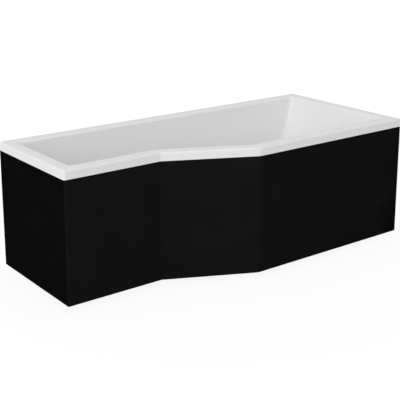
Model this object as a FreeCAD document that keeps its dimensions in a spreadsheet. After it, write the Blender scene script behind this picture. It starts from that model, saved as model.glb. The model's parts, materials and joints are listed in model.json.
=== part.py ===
import FreeCAD, Part
import math
import os
import re

import Sketcher
from FreeCAD import Placement, Rotation, Vector

# Driving dimensions, in millimetres and degrees
DIMENSIONS = {
    # Outline and rim of the bath
    "length": "1700",
    "width": "750",
    "narrow_width": "565",
    "narrow_run": "446",
    "flare_run": "378",
    "height": "560",
    "skirt": "37",
    "sheet": "5",
    "rim_flat": "50",
    "lip_radius": "12",
    "rim_edge": "7",
    "rim_corner": "10",
    "rim_bend": "16",
    # Walls and floor of the bath
    "floor_height": "140",
    "side_slope": "6",
    "foot_slope": "10",
    "head_slope": "19",
    "corner_top": "12",
    "corner_floor": "34",
    "bend_top": "35",
    "bend_floor": "70",
    "floor_radius": "32",
    "backing": "3",
    "board": "16",
    "board_margin": "8",
    # Battens under the rim
    "batten_width": "30",
    "batten_height": "18",
    "batten_inset": "12",
    "batten_end": "60",
    # Panels
    "panel_sheet": "4",
    "panel_gap": "0.5",
    "panel_floor_gap": "4",
    "panel_return": "34",
    "panel_seam": "2",
    "panel_corner": "6",
    "panel_bend": "6",
    "panel_edge": "1.2",
    "panel_flange": "20",
    "strip_width": "50",
    "strip_gauge": "3",
    "strip_end": "20",
    # Panel clips and their screws
    "clip_gauge": "2",
    "clip_width": "40",
    "clip_grip": "35",
    "clip_reach": "32",
    "clip_screw_radius": "2",
    "clip_screw_head": "4",
    "clip_screw_head_height": "2.5",
    "clip_screw_depth": "12",
    "clip_screw_inset": "26",
    "foot_clip_setback": "140",
    "narrow_clip_setback": "110",
    "wide_clip_setback": "130",
    # Leg rails, their screws and the panel stays
    "foot_rail_setback": "380",
    "head_rail_setback": "420",
    "rail_width": "40",
    "rail_depth": "28",
    "rail_gauge": "2.5",
    "rail_end": "22",
    "rail_screw_radius": "2.5",
    "rail_screw_head": "4.75",
    "rail_screw_head_height": "3",
    "rail_screw_depth": "12",
    "rail_screw_end": "90",
    "stay_gauge": "3",
    "stay_height": "20",
    "stay_grip": "60",
    "stay_tab": "40",
    "stay_bolt_radius": "3",
    "stay_bolt_head": "5.5",
    "stay_bolt_head_height": "4",
    "stay_bolt_tail": "5",
    "stay_bolt_pitch": "30",
    # Levelling feet
    "rod_inset": "75",
    "rod_radius": "6",
    "rod_spare": "34",
    "rod_clearance": "0.1",
    "rod_hole_clearance": "0.5",
    "nut_flats": "19",
    "nut_height": "10",
    "pad_radius": "28",
    "pad_base": "6",
    "pad_neck": "12",
    "pad_height": "22",
    "pad_chamfer": "2",
    # Wall brackets
    "bracket_gauge": "2.5",
    "bracket_width": "60",
    "bracket_drop": "60",
    "bracket_lip": "17",
    "bracket_hole": "3.5",
    "bracket_hole_pitch": "30",
    "bracket_hole_drop": "35",
    "back_bracket_setback": "350",
    "end_bracket_setback": "375",
    # Waste
    "waste_setback": "250",
    "waste_hole": "26",
    "sleeve_radius": "25",
    "sleeve_wall": "4",
    "sleeve_length": "30",
    "flange_radius": "35",
    "flange_height": "2.6",
    "flange_edge": "1",
    "flange_seal_height": "1.5",
    "flange_seal_radius": "33",
    "hub_radius": "8",
    "hub_height": "8",
    "hub_drop": "14",
    "spoke_width": "5",
    "gasket_height": "4",
    "gasket_radius": "38",
    "collar_radius": "40",
    "collar_height": "5",
    "thread_clearance": "0.1",
    "cup_radius": "31",
    "cup_wall": "3",
    "port_spare": "0.5",
    "port_reach": "48",
    "neck_radius": "19",
    "neck_length": "12",
    "dip_radius": "17",
    "dip_wall": "2",
    "dip_length": "34",
    # Pop-up plug
    "plug_radius": "31",
    "plug_edge": "2",
    "plug_crown": "3",
    "plug_crown_radius": "18.6",
    "plug_gap": "0.4",
    "plug_seal_height": "4",
    "stem_radius": "4",
    "stem_length": "48",
    "stem_clearance": "0.1",
    "carrier_radius": "8",
    "carrier_height": "5",
    # Trap and outlet
    "trap_radius": "38",
    "trap_wall": "3.5",
    "trap_height": "46",
    "trap_top": "4",
    "trap_nut_radius": "27",
    "trap_nut_height": "11",
    "trap_cap_radius": "41",
    "trap_cap_height": "6",
    "trap_cap_spigot": "9",
    "outlet_radius": "20",
    "outlet_wall": "2.5",
    "outlet_drop": "23",
    "spigot_reach": "62",
    "outlet_nut_radius": "27",
    "outlet_nut_length": "24",
    "outlet_stop_radius": "23",
    "outlet_stop_width": "5",
    "outlet_free": "60",
    "outlet_setback": "45",
    # Overflow and its knob
    "overflow_drop": "90",
    "overflow_hole": "27",
    "faceplate_radius": "33",
    "faceplate_height": "3",
    "water_hole": "5",
    "fixing_circle": "20",
    "overflow_screw_radius": "2.5",
    "overflow_screw_head": "4.5",
    "overflow_screw_head_height": "2.5",
    "overflow_screw_depth": "18",
    "overflow_gasket_radius": "37",
    "overflow_gasket_height": "3",
    "housing_flange": "4",
    "housing_radius": "34",
    "housing_depth": "30",
    "housing_wall": "3",
    "post_radius": "5",
    "spindle_radius": "5",
    "spindle_clearance": "0.1",
    "spindle_reach": "18",
    "crank_radius": "11",
    "crank_height": "6",
    "knob_radius": "35",
    "knob_standoff": "8",
    "knob_height": "13",
    "knob_edge": "4",
    "knob_crown": "24",
    "scallop_radius": "10",
    "scallop_bite": "3.5",
    # Overflow hose, elbow and control cable
    "pipe_radius": "14",
    "pipe_wall": "2",
    "pipe_setback": "28",
    "stub_drop": "54",
    "stub_grip": "16",
    "hose_clearance": "0.3",
    "hose_wall": "2.2",
    "hose_rib_height": "2.5",
    "hose_rib_pitch": "7",
    "hose_cuff": "34",
    "elbow_rise": "60",
    "elbow_bend": "34",
    "pipe_nut_radius": "21",
    "pipe_nut_length": "20",
    "cable_radius": "2.5",
    "cable_offset": "29",
    "cable_bend": "60",
    "ferrule_radius": "5",
    "ferrule_drop": "34",
    "ferrule_reach": "42",
}
SCALLOPS = 8
NUT_SIDES = 6
SPOKE_TURNS = (0, 120, 240)
WATER_HOLE_TURNS = (-45, 0, 45, 135, 180, 225)
# Two edges closer together than this are the same edge
TOUCHING = 0.01

# Places that follow from the driving dimensions
LEFT = "(-length / 2)"
RIGHT = "(length / 2)"
BACK = "(width / 2)"
FRONT = "(-width / 2)"
NARROW_FRONT = "(width / 2 - narrow_width)"
FIRST_BEND = "(narrow_run - length / 2)"
SECOND_BEND = "(narrow_run + flare_run - length / 2)"
FLARE = "atan((width - narrow_width) / flare_run)"
FLARE_LENGTH = f"(flare_run / cos({FLARE}))"
SKIRT_FOOT = "(height - skirt)"
BATH_DEPTH = "(height - floor_height)"
UNDERSIDE = "(floor_height - sheet - backing)"
BOARD_FOOT = f"({UNDERSIDE} - board)"
RIM_UNDERSIDE = "(height - sheet - backing)"
BATTEN_FOOT = f"({RIM_UNDERSIDE} - batten_height)"
PANEL_TOP = f"({SKIRT_FOOT} - panel_gap)"
WASTE_X = f"({LEFT} + waste_setback)"
NARROW_MIDDLE = "((width - narrow_width) / 2)"
SLEEVE_BORE = "(sleeve_radius - sleeve_wall)"
FLANGE_TOP = "(flange_seal_height + flange_height)"
PLUG_FOOT = f"({FLANGE_TOP} + plug_gap)"
GASKET_FOOT = "(-sheet - backing - gasket_height)"
PORT_LEVEL = "(-sleeve_length - cup_wall - port_spare - pipe_radius)"
CUP_FLOOR = f"({PORT_LEVEL} - pipe_radius + pipe_wall - port_spare)"
TRAP_TOP = f"({CUP_FLOOR} - cup_wall - neck_length)"
TRAP_FOOT = f"({TRAP_TOP} - trap_height)"
OUTLET_LEVEL = f"({TRAP_TOP} - outlet_drop)"
FACEPLATE_BACK = "(-sheet - backing - overflow_gasket_height)"
HOUSING_BACK = f"({FACEPLATE_BACK} - housing_depth)"

doc = FreeCAD.newDocument("asymmetric_bath")
cells = doc.addObject("Spreadsheet::Sheet", "Dims")
for row, (alias, number) in enumerate(DIMENSIONS.items(), start=1):
    cells.set(f"A{row}", number)
    cells.setAlias(f"A{row}", alias)
doc.recompute()

sub_parts = []


def cell(match):
    word = match[0]
    return f"Dims.{word}" if word in DIMENSIONS else word


def full(expression):
    """The expression with each dimension's name pointing at its cell."""
    return re.sub(r"[a-z_]+", cell, expression)


def value(expression):
    return float(cells.evalExpression(full(expression)))


def bind(thing, setting, expression):
    thing.setExpression(setting, full(expression))


def keep(thing):
    sub_parts.append(thing)
    return thing


# Sketches and bodies


def new_body(label):
    body = doc.addObject("PartDesign::Body", label)
    body.Label = label
    return body


def new_sketch(body, name, role, offset="0"):
    sketch = body.newObject("Sketcher::SketchObject", name)
    plane = next(feature for feature in body.Origin.OriginFeatures if feature.Role == role)
    sketch.AttachmentSupport = (plane, [""])
    sketch.MapMode = "FlatFace"
    bind(sketch, "AttachmentOffset.Base.z", offset)
    return sketch


def fix_point(sketch, geometry, end, corner):
    for kind, expression in (("DistanceX", corner[0]), ("DistanceY", corner[1])):
        constraint = Sketcher.Constraint(kind, -1, 1, geometry, end, value(expression))
        bind(sketch, f"Constraints[{sketch.addConstraint(constraint)}]", expression)


def corner_arc(before, point, after, radius):
    """Where a rounded corner starts and ends, its arc, and whether it turns left."""
    back = (before - point).normalize()
    ahead = (after - point).normalize()
    half = back.getAngle(ahead) / 2
    start = point + back * (radius / math.tan(half))
    end = point + ahead * (radius / math.tan(half))
    centre = point + (back + ahead).normalize() * (radius / math.sin(half))
    turns_left = back.cross(ahead).z < 0
    first, last = (start, end) if turns_left else (end, start)
    angles = [math.atan2(spot.y - centre.y, spot.x - centre.x) for spot in (first, last)]
    if angles[1] < angles[0]:
        angles[1] += 2 * math.pi
    arc = Part.ArcOfCircle(Part.Circle(centre, Vector(0, 0, 1), radius), *angles)
    return start, end, arc, turns_left


def draw_outline(sketch, corners, closed=True):
    """Straight sides through corners given as (x, y), or as (x, y, radius) where they are rounded."""
    points = [Vector(value(corner[0]), value(corner[1]), 0) for corner in corners]
    count = len(points)
    starts, ends, arcs = list(points), list(points), {}
    for index, corner in enumerate(corners):
        if len(corner) == 3:
            neighbours = (points[index - 1], points[index], points[(index + 1) % count])
            ends[index], starts[index], arc, turns_left = corner_arc(*neighbours, value(corner[2]))
            arcs[index] = (sketch.addGeometry(arc, False), turns_left)
    sides = []
    for index in range(count if closed else count - 1):
        segment = Part.LineSegment(starts[index], ends[(index + 1) % count])
        sides.append(sketch.addGeometry(segment, False))
    for index, corner in enumerate(corners):
        first = closed or index > 0
        last = closed or index < count - 1
        if index in arcs:
            arc, turns_left = arcs[index]
            start, end = (1, 2) if turns_left else (2, 1)
            sketch.addConstraint(Sketcher.Constraint("Tangent", sides[index - 1], 2, arc, start))
            sketch.addConstraint(Sketcher.Constraint("Tangent", arc, end, sides[index], 1))
            rounding = Sketcher.Constraint("Radius", arc, value(corner[2]))
            bind(sketch, f"Constraints[{sketch.addConstraint(rounding)}]", corner[2])
            apex = sketch.addGeometry(Part.Point(points[index]), True)
            fix_point(sketch, apex, 1, corner)
            sketch.addConstraint(Sketcher.Constraint("PointOnObject", apex, 1, sides[index - 1]))
            sketch.addConstraint(Sketcher.Constraint("PointOnObject", apex, 1, sides[index]))
            continue
        if first and last:
            sketch.addConstraint(Sketcher.Constraint("Coincident", sides[index - 1], 2, sides[index], 1))
        if last:
            fix_point(sketch, sides[index], 1, corner)
        else:
            fix_point(sketch, sides[index - 1], 2, corner)


def draw_circle(sketch, x, y, radius):
    centre = Vector(value(x), value(y), 0)
    circle = sketch.addGeometry(Part.Circle(centre, Vector(0, 0, 1), value(radius)), False)
    fix_point(sketch, circle, 3, (x, y))
    number = sketch.addConstraint(Sketcher.Constraint("Radius", circle, value(radius)))
    bind(sketch, f"Constraints[{number}]", radius)


def add_pad(body, sketch, length):
    pad = body.newObject("PartDesign::Pad", f"{sketch.Name}_pad")
    pad.Profile = sketch
    bind(pad, "Length", length)
    return pad


def add_fillet(body, base, edges, radius):
    fillet = body.newObject("PartDesign::Fillet", f"{base.Name}_fillet")
    fillet.Base = (base, edges)
    bind(fillet, "Radius", radius)
    doc.recompute()
    return fillet


def prism(label, corners, foot, height):
    """An upright plate with the given outline."""
    body = new_body(label)
    sketch = new_sketch(body, f"{label}_outline", "XY_Plane", foot)
    draw_outline(sketch, corners)
    add_pad(body, sketch, height)
    return body


def turned(label, profile):
    """A piece turned about its own Z axis, from a profile of (radius, height) corners."""
    body = new_body(label)
    sketch = new_sketch(body, f"{label}_profile", "XZ_Plane")
    draw_outline(sketch, profile)
    revolution = body.newObject("PartDesign::Revolution", f"{label}_turn")
    revolution.Profile = sketch
    revolution.ReferenceAxis = (sketch, ["V_Axis"])
    revolution.Angle = 360
    return body


def ring(label, inner, outer, foot, height):
    top = f"{foot} + {height}"
    return turned(label, [(inner, foot), (outer, foot), (outer, top), (inner, top)])


def bent_tube(label, route, across, radius, bore=None):
    """A tube whose first run is vertical, along a route of (x, z) corners in a plane of constant Y."""
    body = new_body(label)
    path = new_sketch(body, f"{label}_route", "XZ_Plane", f"-({across})")
    draw_outline(path, route, closed=False)
    for kind, size in (("AdditivePipe", radius), ("SubtractivePipe", bore)):
        if size:
            section = new_sketch(body, f"{label}_section", "XY_Plane", route[0][1])
            draw_circle(section, route[0][0], across, size)
            doc.recompute()
            pipe = body.newObject(f"PartDesign::{kind}", f"{label}_pipe")
            pipe.Profile = section
            pipe.Spine = (path, [f"Edge{number + 1}" for number in range(len(path.Shape.Edges))])
            doc.recompute()
    return body


# Primitives, booleans and places


def box(name, length, width, height):
    thing = doc.addObject("Part::Box", name)
    bind(thing, "Length", length)
    bind(thing, "Width", width)
    bind(thing, "Height", height)
    return thing


def cylinder(name, radius, height):
    thing = doc.addObject("Part::Cylinder", name)
    bind(thing, "Radius", radius)
    bind(thing, "Height", height)
    return thing


def cut(label, base, tool):
    thing = doc.addObject("Part::Cut", label)
    thing.Base = base
    thing.Tool = tool
    thing.Label = label
    return thing


def fuse(label, pieces):
    thing = doc.addObject("Part::MultiFuse", label)
    thing.Shapes = pieces
    thing.Label = label
    return thing


def group(label, pieces):
    thing = doc.addObject("Part::Compound", label)
    thing.Links = pieces
    thing.Label = label
    return thing


def place(thing, x, y, z, rotation=None):
    if rotation:
        thing.Placement = Placement(Vector(0, 0, 0), rotation)
    for axis, expression in (("x", x), ("y", y), ("z", z)):
        bind(thing, f"Placement.Base.{axis}", expression)
    return thing


UP_TO_LEFT = Rotation(Vector(0, 1, 0), -90)
UP_TO_RIGHT = Rotation(Vector(0, 1, 0), 90)
UP_TO_BACK = Rotation(Vector(1, 0, 0), -90)


def at_waste(thing, height="0", rotation=None):
    """On the waste's axis, at a height over the bath floor."""
    return place(thing, WASTE_X, NARROW_MIDDLE, f"floor_height + {height}", rotation)


# Each edge of the outline: its start, its turn from +X, and its length, with the bath on its left
EDGES = {
    "foot": (LEFT, BACK, "-90", "narrow_width"),
    "narrow": (LEFT, NARROW_FRONT, "0", "narrow_run"),
    "flare": (FIRST_BEND, NARROW_FRONT, f"-{FLARE}", FLARE_LENGTH),
    "wide": (SECOND_BEND, FRONT, "0", "(length - narrow_run - flare_run)"),
    "head": (RIGHT, FRONT, "90", "width"),
    "back": (RIGHT, BACK, "180", "length"),
}


def on_edge(thing, edge, along, inset, height):
    """Stand a piece along an edge of the outline, at a distance inside it."""
    x, y, turn, _ = EDGES[edge]
    east = f"{x} + ({along}) * cos({turn}) - ({inset}) * sin({turn})"
    north = f"{y} + ({along}) * sin({turn}) + ({inset}) * cos({turn})"
    place(thing, east, north, height, Rotation(Vector(0, 0, 1), value(turn)))
    if edge == "flare":
        bind(thing, "Placement.Rotation.Angle", turn)
    return thing


def outline(foot, back, front, flare, head):
    """The bath's six corners from the back of the foot end, with each edge moved in by its own inset."""
    shift = f"((({flare}) - ({front}) * cos({FLARE})) / sin({FLARE}))"
    return [
        (f"{LEFT} + {foot}", f"{BACK} - {back}"),
        (f"{LEFT} + {foot}", f"{NARROW_FRONT} + {front}"),
        (f"{FIRST_BEND} + {shift}", f"{NARROW_FRONT} + {front}"),
        (f"{SECOND_BEND} + {shift}", f"{FRONT} + {front}"),
        (f"{RIGHT} - {head}", f"{FRONT} + {front}"),
        (f"{RIGHT} - {head}", f"{BACK} - {back}"),
    ]


def even_outline(inset):
    return outline(inset, inset, inset, inset, inset)


def rim_outline(inset):
    """The rim's outline, or a face inside it, with its corners rounded about the same centres."""
    outward = f"rim_corner - {inset}"
    radii = [outward, outward, f"rim_bend + {inset}", f"rim_bend - {inset}", outward, outward]
    return [(x, y, radius) for (x, y), radius in zip(even_outline(inset), radii)]


def wall_inset(slope, drop, skin="0"):
    """How far inside the rim's outer edge a wall stands at a drop below the rim, behind a skin."""
    lip = f"rim_flat + lip_radius * tan((90 - {slope}) / 2)"
    return f"({lip} + ({drop}) * tan({slope}) - ({skin}) / cos({slope}))"


def basin_outline(drop, skin, corner, bend):
    foot = wall_inset("foot_slope", drop, skin)
    side = wall_inset("side_slope", drop, skin)
    head = wall_inset("head_slope", drop, skin)
    corners = outline(foot, side, side, side, head)
    outward = f"{corner} + {skin}"
    radii = [outward, outward, f"{bend} - {skin}", f"{bend} + {skin}", outward, outward]
    return [(x, y, radius) for (x, y), radius in zip(corners, radii)]


def edges_along(shape, guide):
    """Names of the shape's edges whose middles lie on the guide's edges."""
    names = []
    middles = [edge.valueAt((edge.FirstParameter + edge.LastParameter) / 2) for edge in guide.Edges]
    for number, edge in enumerate(shape.Edges, start=1):
        middle = edge.valueAt((edge.FirstParameter + edge.LastParameter) / 2)
        if any(middle.distanceToPoint(spot) < TOUCHING for spot in middles):
            names.append(f"Edge{number}")
    return names


def formed_block(label, skin, rim_inset, rim_edge=None):
    """A block that fills the space under the bath's surface, down to a skin below that surface."""
    body = new_body(label)
    base = "(floor_height / 2)"
    rim = new_sketch(body, f"{label}_rim", "XY_Plane", SKIRT_FOOT)
    draw_outline(rim, rim_outline(rim_inset))
    slab = add_pad(body, rim, f"skirt - {skin}")
    doc.recompute()
    if rim_edge:
        top = slab.Shape.BoundBox.ZMax
        upper = [f"Edge{number}" for number, edge in enumerate(slab.Shape.Edges, start=1)
                 if edge.BoundBox.ZMin > top - TOUCHING]
        add_fillet(body, slab, upper, rim_edge)
    under = new_sketch(body, f"{label}_under", "XY_Plane", base)
    draw_outline(under, even_outline("rim_flat / 2"))
    add_pad(body, under, f"{SKIRT_FOOT} - {base}")
    mouth = new_sketch(body, f"{label}_mouth", "XY_Plane", f"height - {skin}")
    draw_outline(mouth, basin_outline(skin, skin, "corner_top", "bend_top"))
    floor = new_sketch(body, f"{label}_floor", "XY_Plane", f"floor_height - {skin}")
    draw_outline(floor, basin_outline(f"{BATH_DEPTH} + {skin}", skin, "corner_floor", "bend_floor"))
    doc.recompute()
    basin = body.newObject("PartDesign::SubtractiveLoft", f"{label}_basin")
    basin.Profile = mouth
    basin.Sections = [floor]
    basin.Ruled = True
    doc.recompute()
    lip = add_fillet(body, basin, edges_along(basin.Shape, mouth.Shape), f"lip_radius - {skin}")
    add_fillet(body, lip, edges_along(lip.Shape, floor.Shape), f"floor_radius + {skin}")
    return body


# The foot end's wall leans, and everything of the overflow is square to it
OVERFLOW_X = f"({LEFT} + {wall_inset('foot_slope', 'overflow_drop')})"
OVERFLOW_Z = "(height - overflow_drop)"
PIPE_X = f"({OVERFLOW_X} - pipe_setback * cos(foot_slope))"
PIPE_Z = f"({OVERFLOW_Z} - pipe_setback * sin(foot_slope))"


def at_overflow(thing, depth="0", across="0"):
    """Square to the foot end's wall, at a depth along the overflow's axis from the wall's face."""
    place(thing, f"{OVERFLOW_X} + ({depth}) * cos(foot_slope)", f"{NARROW_MIDDLE} + ({across})",
          f"{OVERFLOW_Z} + ({depth}) * sin(foot_slope)", Rotation(Vector(0, 1, 0), 90 - value("foot_slope")))
    bind(thing, "Placement.Rotation.Angle", "90 - foot_slope")
    return thing


def build_bath():
    """The acrylic shell and the glass-fibre skin under it, both pierced for the waste and the overflow."""
    finished = formed_block("finished_form", "0", "0", "rim_edge")
    sheet_back = formed_block("sheet_back_form", "sheet", "sheet", "rim_edge - sheet")
    backing_back = formed_block("backing_back_form", "(sheet + backing)", "sheet")
    layers = (("bath_shell", finished, sheet_back), ("fibreglass_backing", sheet_back, backing_back))
    for label, outer, inner in layers:
        waste = cylinder(f"{label}_waste_hole", "waste_hole", "floor_height")
        place(waste, WASTE_X, NARROW_MIDDLE, "floor_height / 2")
        overflow = cylinder(f"{label}_overflow_hole", "overflow_hole", "4 * (sheet + backing)")
        at_overflow(overflow, "-2 * (sheet + backing)")
        blank = cut(f"{label}_blank", outer, inner)
        keep(cut(label, blank, group(f"{label}_holes", [waste, overflow])))


def screw(name, radius, head, head_height, length):
    """A screw that points up from its head, with the head's upper face at the origin."""
    shank = cylinder(f"{name}_shank", radius, length)
    cap = cylinder(f"{name}_head", head, head_height)
    return shank, cap


def build_battens_and_clips():
    """Battens under the rim, and the screwed angle clips that hold the panels' top edges."""
    wide_run = EDGES["wide"][3]
    clips_on = {
        "foot": ["foot_clip_setback", "narrow_width - foot_clip_setback"],
        "narrow": ["narrow_clip_setback", "narrow_run - narrow_clip_setback"],
        "flare": [f"{FLARE_LENGTH} / 2"],
        "wide": ["wide_clip_setback", f"{wide_run} / 2", f"{wide_run} - wide_clip_setback"],
        "head": [],
        "back": [],
    }
    clips, screws, battens = [], [], {}
    for edge, places in clips_on.items():
        run = f"{EDGES[edge][3]} - 2 * batten_end"
        batten = box(f"{edge}_batten_blank", run, "batten_width", "batten_height")
        battens[edge] = on_edge(batten, edge, "batten_end", "batten_inset", BATTEN_FOOT)
        for number, along in enumerate(places):
            name = f"{edge}_clip_{number}"
            start = f"{along} - clip_width / 2"
            foot = f"({SKIRT_FOOT} - clip_grip)"
            arm_foot = f"({BATTEN_FOOT} - clip_gauge)"
            leg = box(f"{name}_leg", "clip_width", "clip_gauge", f"{BATTEN_FOOT} - {foot}")
            arm = box(f"{name}_arm", "clip_width", "clip_reach", "clip_gauge")
            on_edge(leg, edge, start, "sheet", foot)
            on_edge(arm, edge, start, "sheet", arm_foot)
            clips.append(fuse(name, [leg, arm]))
            shank, head = screw(name, "clip_screw_radius", "clip_screw_head", "clip_screw_head_height",
                                "clip_gauge + clip_screw_depth")
            on_edge(shank, edge, along, "clip_screw_inset", arm_foot)
            on_edge(head, edge, along, "clip_screw_inset", f"{arm_foot} - clip_screw_head_height")
            screws.append(fuse(f"{name}_screw", [shank, head]))
    screw_group = keep(group("panel_clip_screws", screws))
    keep(cut("panel_clips", group("panel_clip_blanks", clips), screw_group))
    names = {"foot": "foot_end_batten", "narrow": "narrow_front_batten", "flare": "flare_batten",
             "wide": "wide_front_batten", "head": "head_end_batten", "back": "back_batten"}
    for edge, batten in battens.items():
        if clips_on[edge]:
            keep(cut(names[edge], batten, screw_group))
        else:
            batten.Label = names[edge]
            keep(batten)


def build_panels():
    """The three-facet front panel with its corner return, the end panel and the strip behind their seam."""
    outer = even_outline("(sheet - panel_sheet)")
    inner = even_outline("sheet")
    height = f"{PANEL_TOP} - panel_floor_gap"
    turn_end = f"{NARROW_FRONT} + sheet - panel_sheet + panel_return"
    far_end = f"{FRONT} + sheet + panel_flange"
    inside_corner = "panel_corner - panel_sheet"
    front = [
        (outer[1][0], turn_end, "panel_edge"),
        (*outer[1], "panel_corner"),
        (*outer[2], "panel_bend"),
        (*outer[3], "panel_bend + panel_sheet"),
        (*outer[4], "panel_corner"),
        (outer[4][0], far_end),
        (inner[4][0], far_end),
        (*inner[4], inside_corner),
        (*inner[3], "panel_bend"),
        (*inner[2], "panel_bend + panel_sheet"),
        (*inner[1], inside_corner),
        (inner[1][0], turn_end),
    ]
    keep(prism("front_panel", front, "panel_floor_gap", height))
    seam_end = f"{turn_end} + panel_seam"
    flange_end = f"{inner[0][0]} + panel_flange"
    end = [
        (*outer[0], "panel_corner"),
        (outer[0][0], seam_end, "panel_edge"),
        (inner[0][0], seam_end),
        (*inner[0], inside_corner),
        (flange_end, inner[0][1]),
        (flange_end, outer[0][1]),
    ]
    keep(prism("end_panel", end, "panel_floor_gap", height))
    strip = box("corner_strip", "strip_gauge", "strip_width", f"{height} - 2 * strip_end")
    strip.Label = "corner_strip"
    keep(place(strip, f"{LEFT} + sheet", f"{turn_end} + panel_seam / 2 - strip_width / 2",
               "panel_floor_gap + strip_end"))


# Each leg rail: its middle, and the front edge of the bath over it
RAILS = {
    "foot_end": (f"({LEFT} + foot_rail_setback)", NARROW_FRONT),
    "head_end": (f"({RIGHT} - head_rail_setback)", FRONT),
}


def build_legs():
    """The base board, its two channel rails, and a levelling foot at each rail end."""
    bottom = wall_inset("side_slope", BATH_DEPTH)
    side = f"({bottom} + floor_radius + board_margin)"
    foot = "(waste_setback + collar_radius + board_margin)"
    head = f"({wall_inset('head_slope', BATH_DEPTH)} + floor_radius + board_margin)"
    board = prism("base_board_blank", outline(foot, side, side, side, head), BOARD_FOOT, "board")
    web_foot = f"({BOARD_FOOT} - rail_gauge)"
    rail_foot = f"({BOARD_FOOT} - rail_depth)"
    rail_screws, nuts, stays, bolts = [], [], [], []
    for end, (rail_x, front) in RAILS.items():
        rod_front = f"({front} + rod_inset)"
        rod_back = f"({BACK} - rod_inset)"
        start = f"({rod_front} - rail_end)"
        length = f"({rod_back} - {rod_front} + 2 * rail_end)"
        steel = box(f"{end}_rail_block", "rail_width", length, "rail_depth")
        place(steel, f"{rail_x} - rail_width / 2", start, rail_foot)
        hollow = box(f"{end}_rail_hollow", "rail_width - 2 * rail_gauge", length, "rail_depth - rail_gauge")
        place(hollow, f"{rail_x} - rail_width / 2 + rail_gauge", start, rail_foot)
        holes, own_screws = [], []
        for place_name, rod_y in (("front", rod_front), ("back", rod_back)):
            hole = cylinder(f"{end}_{place_name}_rod_hole", "rod_radius + rod_hole_clearance", "rail_depth")
            holes.append(place(hole, rail_x, rod_y, rail_foot))
            nuts += build_foot(f"{end}_{place_name}", rail_x, rod_y, web_foot)
        for number, along in enumerate((f"{rod_front} + rail_screw_end", f"{rod_back} - rail_screw_end",
                                        f"({rod_front} + {rod_back}) / 2")):
            name = f"{end}_rail_screw_{number}"
            shank, cap = screw(name, "rail_screw_radius", "rail_screw_head", "rail_screw_head_height",
                               "rail_gauge + rail_screw_depth")
            place(shank, rail_x, along, web_foot)
            place(cap, rail_x, along, f"{web_foot} - rail_screw_head_height")
            own_screws.append(fuse(name, [shank, cap]))
        stay, own_bolts = build_stay(end, rail_x, start, front, rail_foot)
        stays.append(stay)
        bolts += own_bolts
        channel = cut(f"{end}_channel", steel, hollow)
        rail_screws += own_screws
        keep(cut(f"{end}_rail", channel, group(f"{end}_rail_holes", holes + own_screws + own_bolts)))
    screws = keep(group("rail_screws", rail_screws))
    keep(cut("base_board", board, screws))
    keep(group("leg_nuts", nuts))
    bolt_group = keep(group("stay_bolts", bolts))
    keep(cut("panel_stays", group("panel_stay_blanks", stays), bolt_group))


def build_foot(name, x, y, web_foot):
    """A threaded rod in a foot pad, with a nut above and below the rail's web."""
    top = f"{BOARD_FOOT} + nut_height + rod_spare"
    rod = cylinder(f"{name}_rod", "rod_radius", f"{top} - pad_base")
    rod.Label = f"{name}_rod"
    keep(place(rod, x, y, "pad_base"))
    socket = "rod_radius + rod_clearance"
    pad = turned(f"{name}_pad", [
        ("0", "0"), ("pad_radius - pad_chamfer", "0"), ("pad_radius", "pad_chamfer"),
        ("pad_radius", "pad_base"), ("pad_neck", "(pad_base + pad_height) / 2"),
        ("pad_neck", "pad_height"), (socket, "pad_height"),
        (socket, "pad_base"), ("0", "pad_base")])
    keep(place(pad, x, y, "0"))
    nuts = []
    for side, foot in (("upper", BOARD_FOOT), ("lower", f"{web_foot} - nut_height")):
        hexagon = doc.addObject("Part::Prism", f"{name}_{side}_hexagon")
        hexagon.Polygon = NUT_SIDES
        bind(hexagon, "Circumradius", f"nut_flats / (2 * cos(180 / {NUT_SIDES}))")
        bind(hexagon, "Height", "nut_height")
        thread = cylinder(f"{name}_{side}_thread", "rod_radius + rod_clearance", "nut_height")
        nuts.append(cut(f"{name}_{side}_nut", place(hexagon, x, y, foot), place(thread, x, y, foot)))
    return nuts


def build_stay(end, rail_x, rail_start, front, rail_foot):
    """A flat angle bolted to a rail's side, whose turned-out tab stands behind the front panel."""
    near = f"({front} + sheet)"
    side_x = f"({rail_x} + rail_width / 2)"
    foot = f"({rail_foot} + (rail_depth - rail_gauge - stay_height) / 2)"
    strap = box(f"{end}_stay_strap", "stay_gauge", f"{rail_start} + stay_grip - {near}", "stay_height")
    place(strap, side_x, near, foot)
    tab = box(f"{end}_stay_tab", "stay_tab", "stay_gauge", "stay_height")
    place(tab, side_x, near, foot)
    bolts = []
    for number in (0, 1):
        name = f"{end}_stay_bolt_{number}"
        along = f"{rail_start} + (stay_grip - stay_bolt_pitch) / 2 + {number} * stay_bolt_pitch"
        level = f"{foot} + stay_height / 2"
        shank, head = screw(name, "stay_bolt_radius", "stay_bolt_head", "stay_bolt_head_height",
                            "stay_gauge + rail_gauge + stay_bolt_tail")
        place(shank, f"{side_x} + stay_gauge", along, level, UP_TO_LEFT)
        place(head, f"{side_x} + stay_gauge + stay_bolt_head_height", along, level, UP_TO_LEFT)
        bolts.append(fuse(name, [shank, head]))
    return fuse(f"{end}_stay", [strap, tab]), bolts


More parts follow.
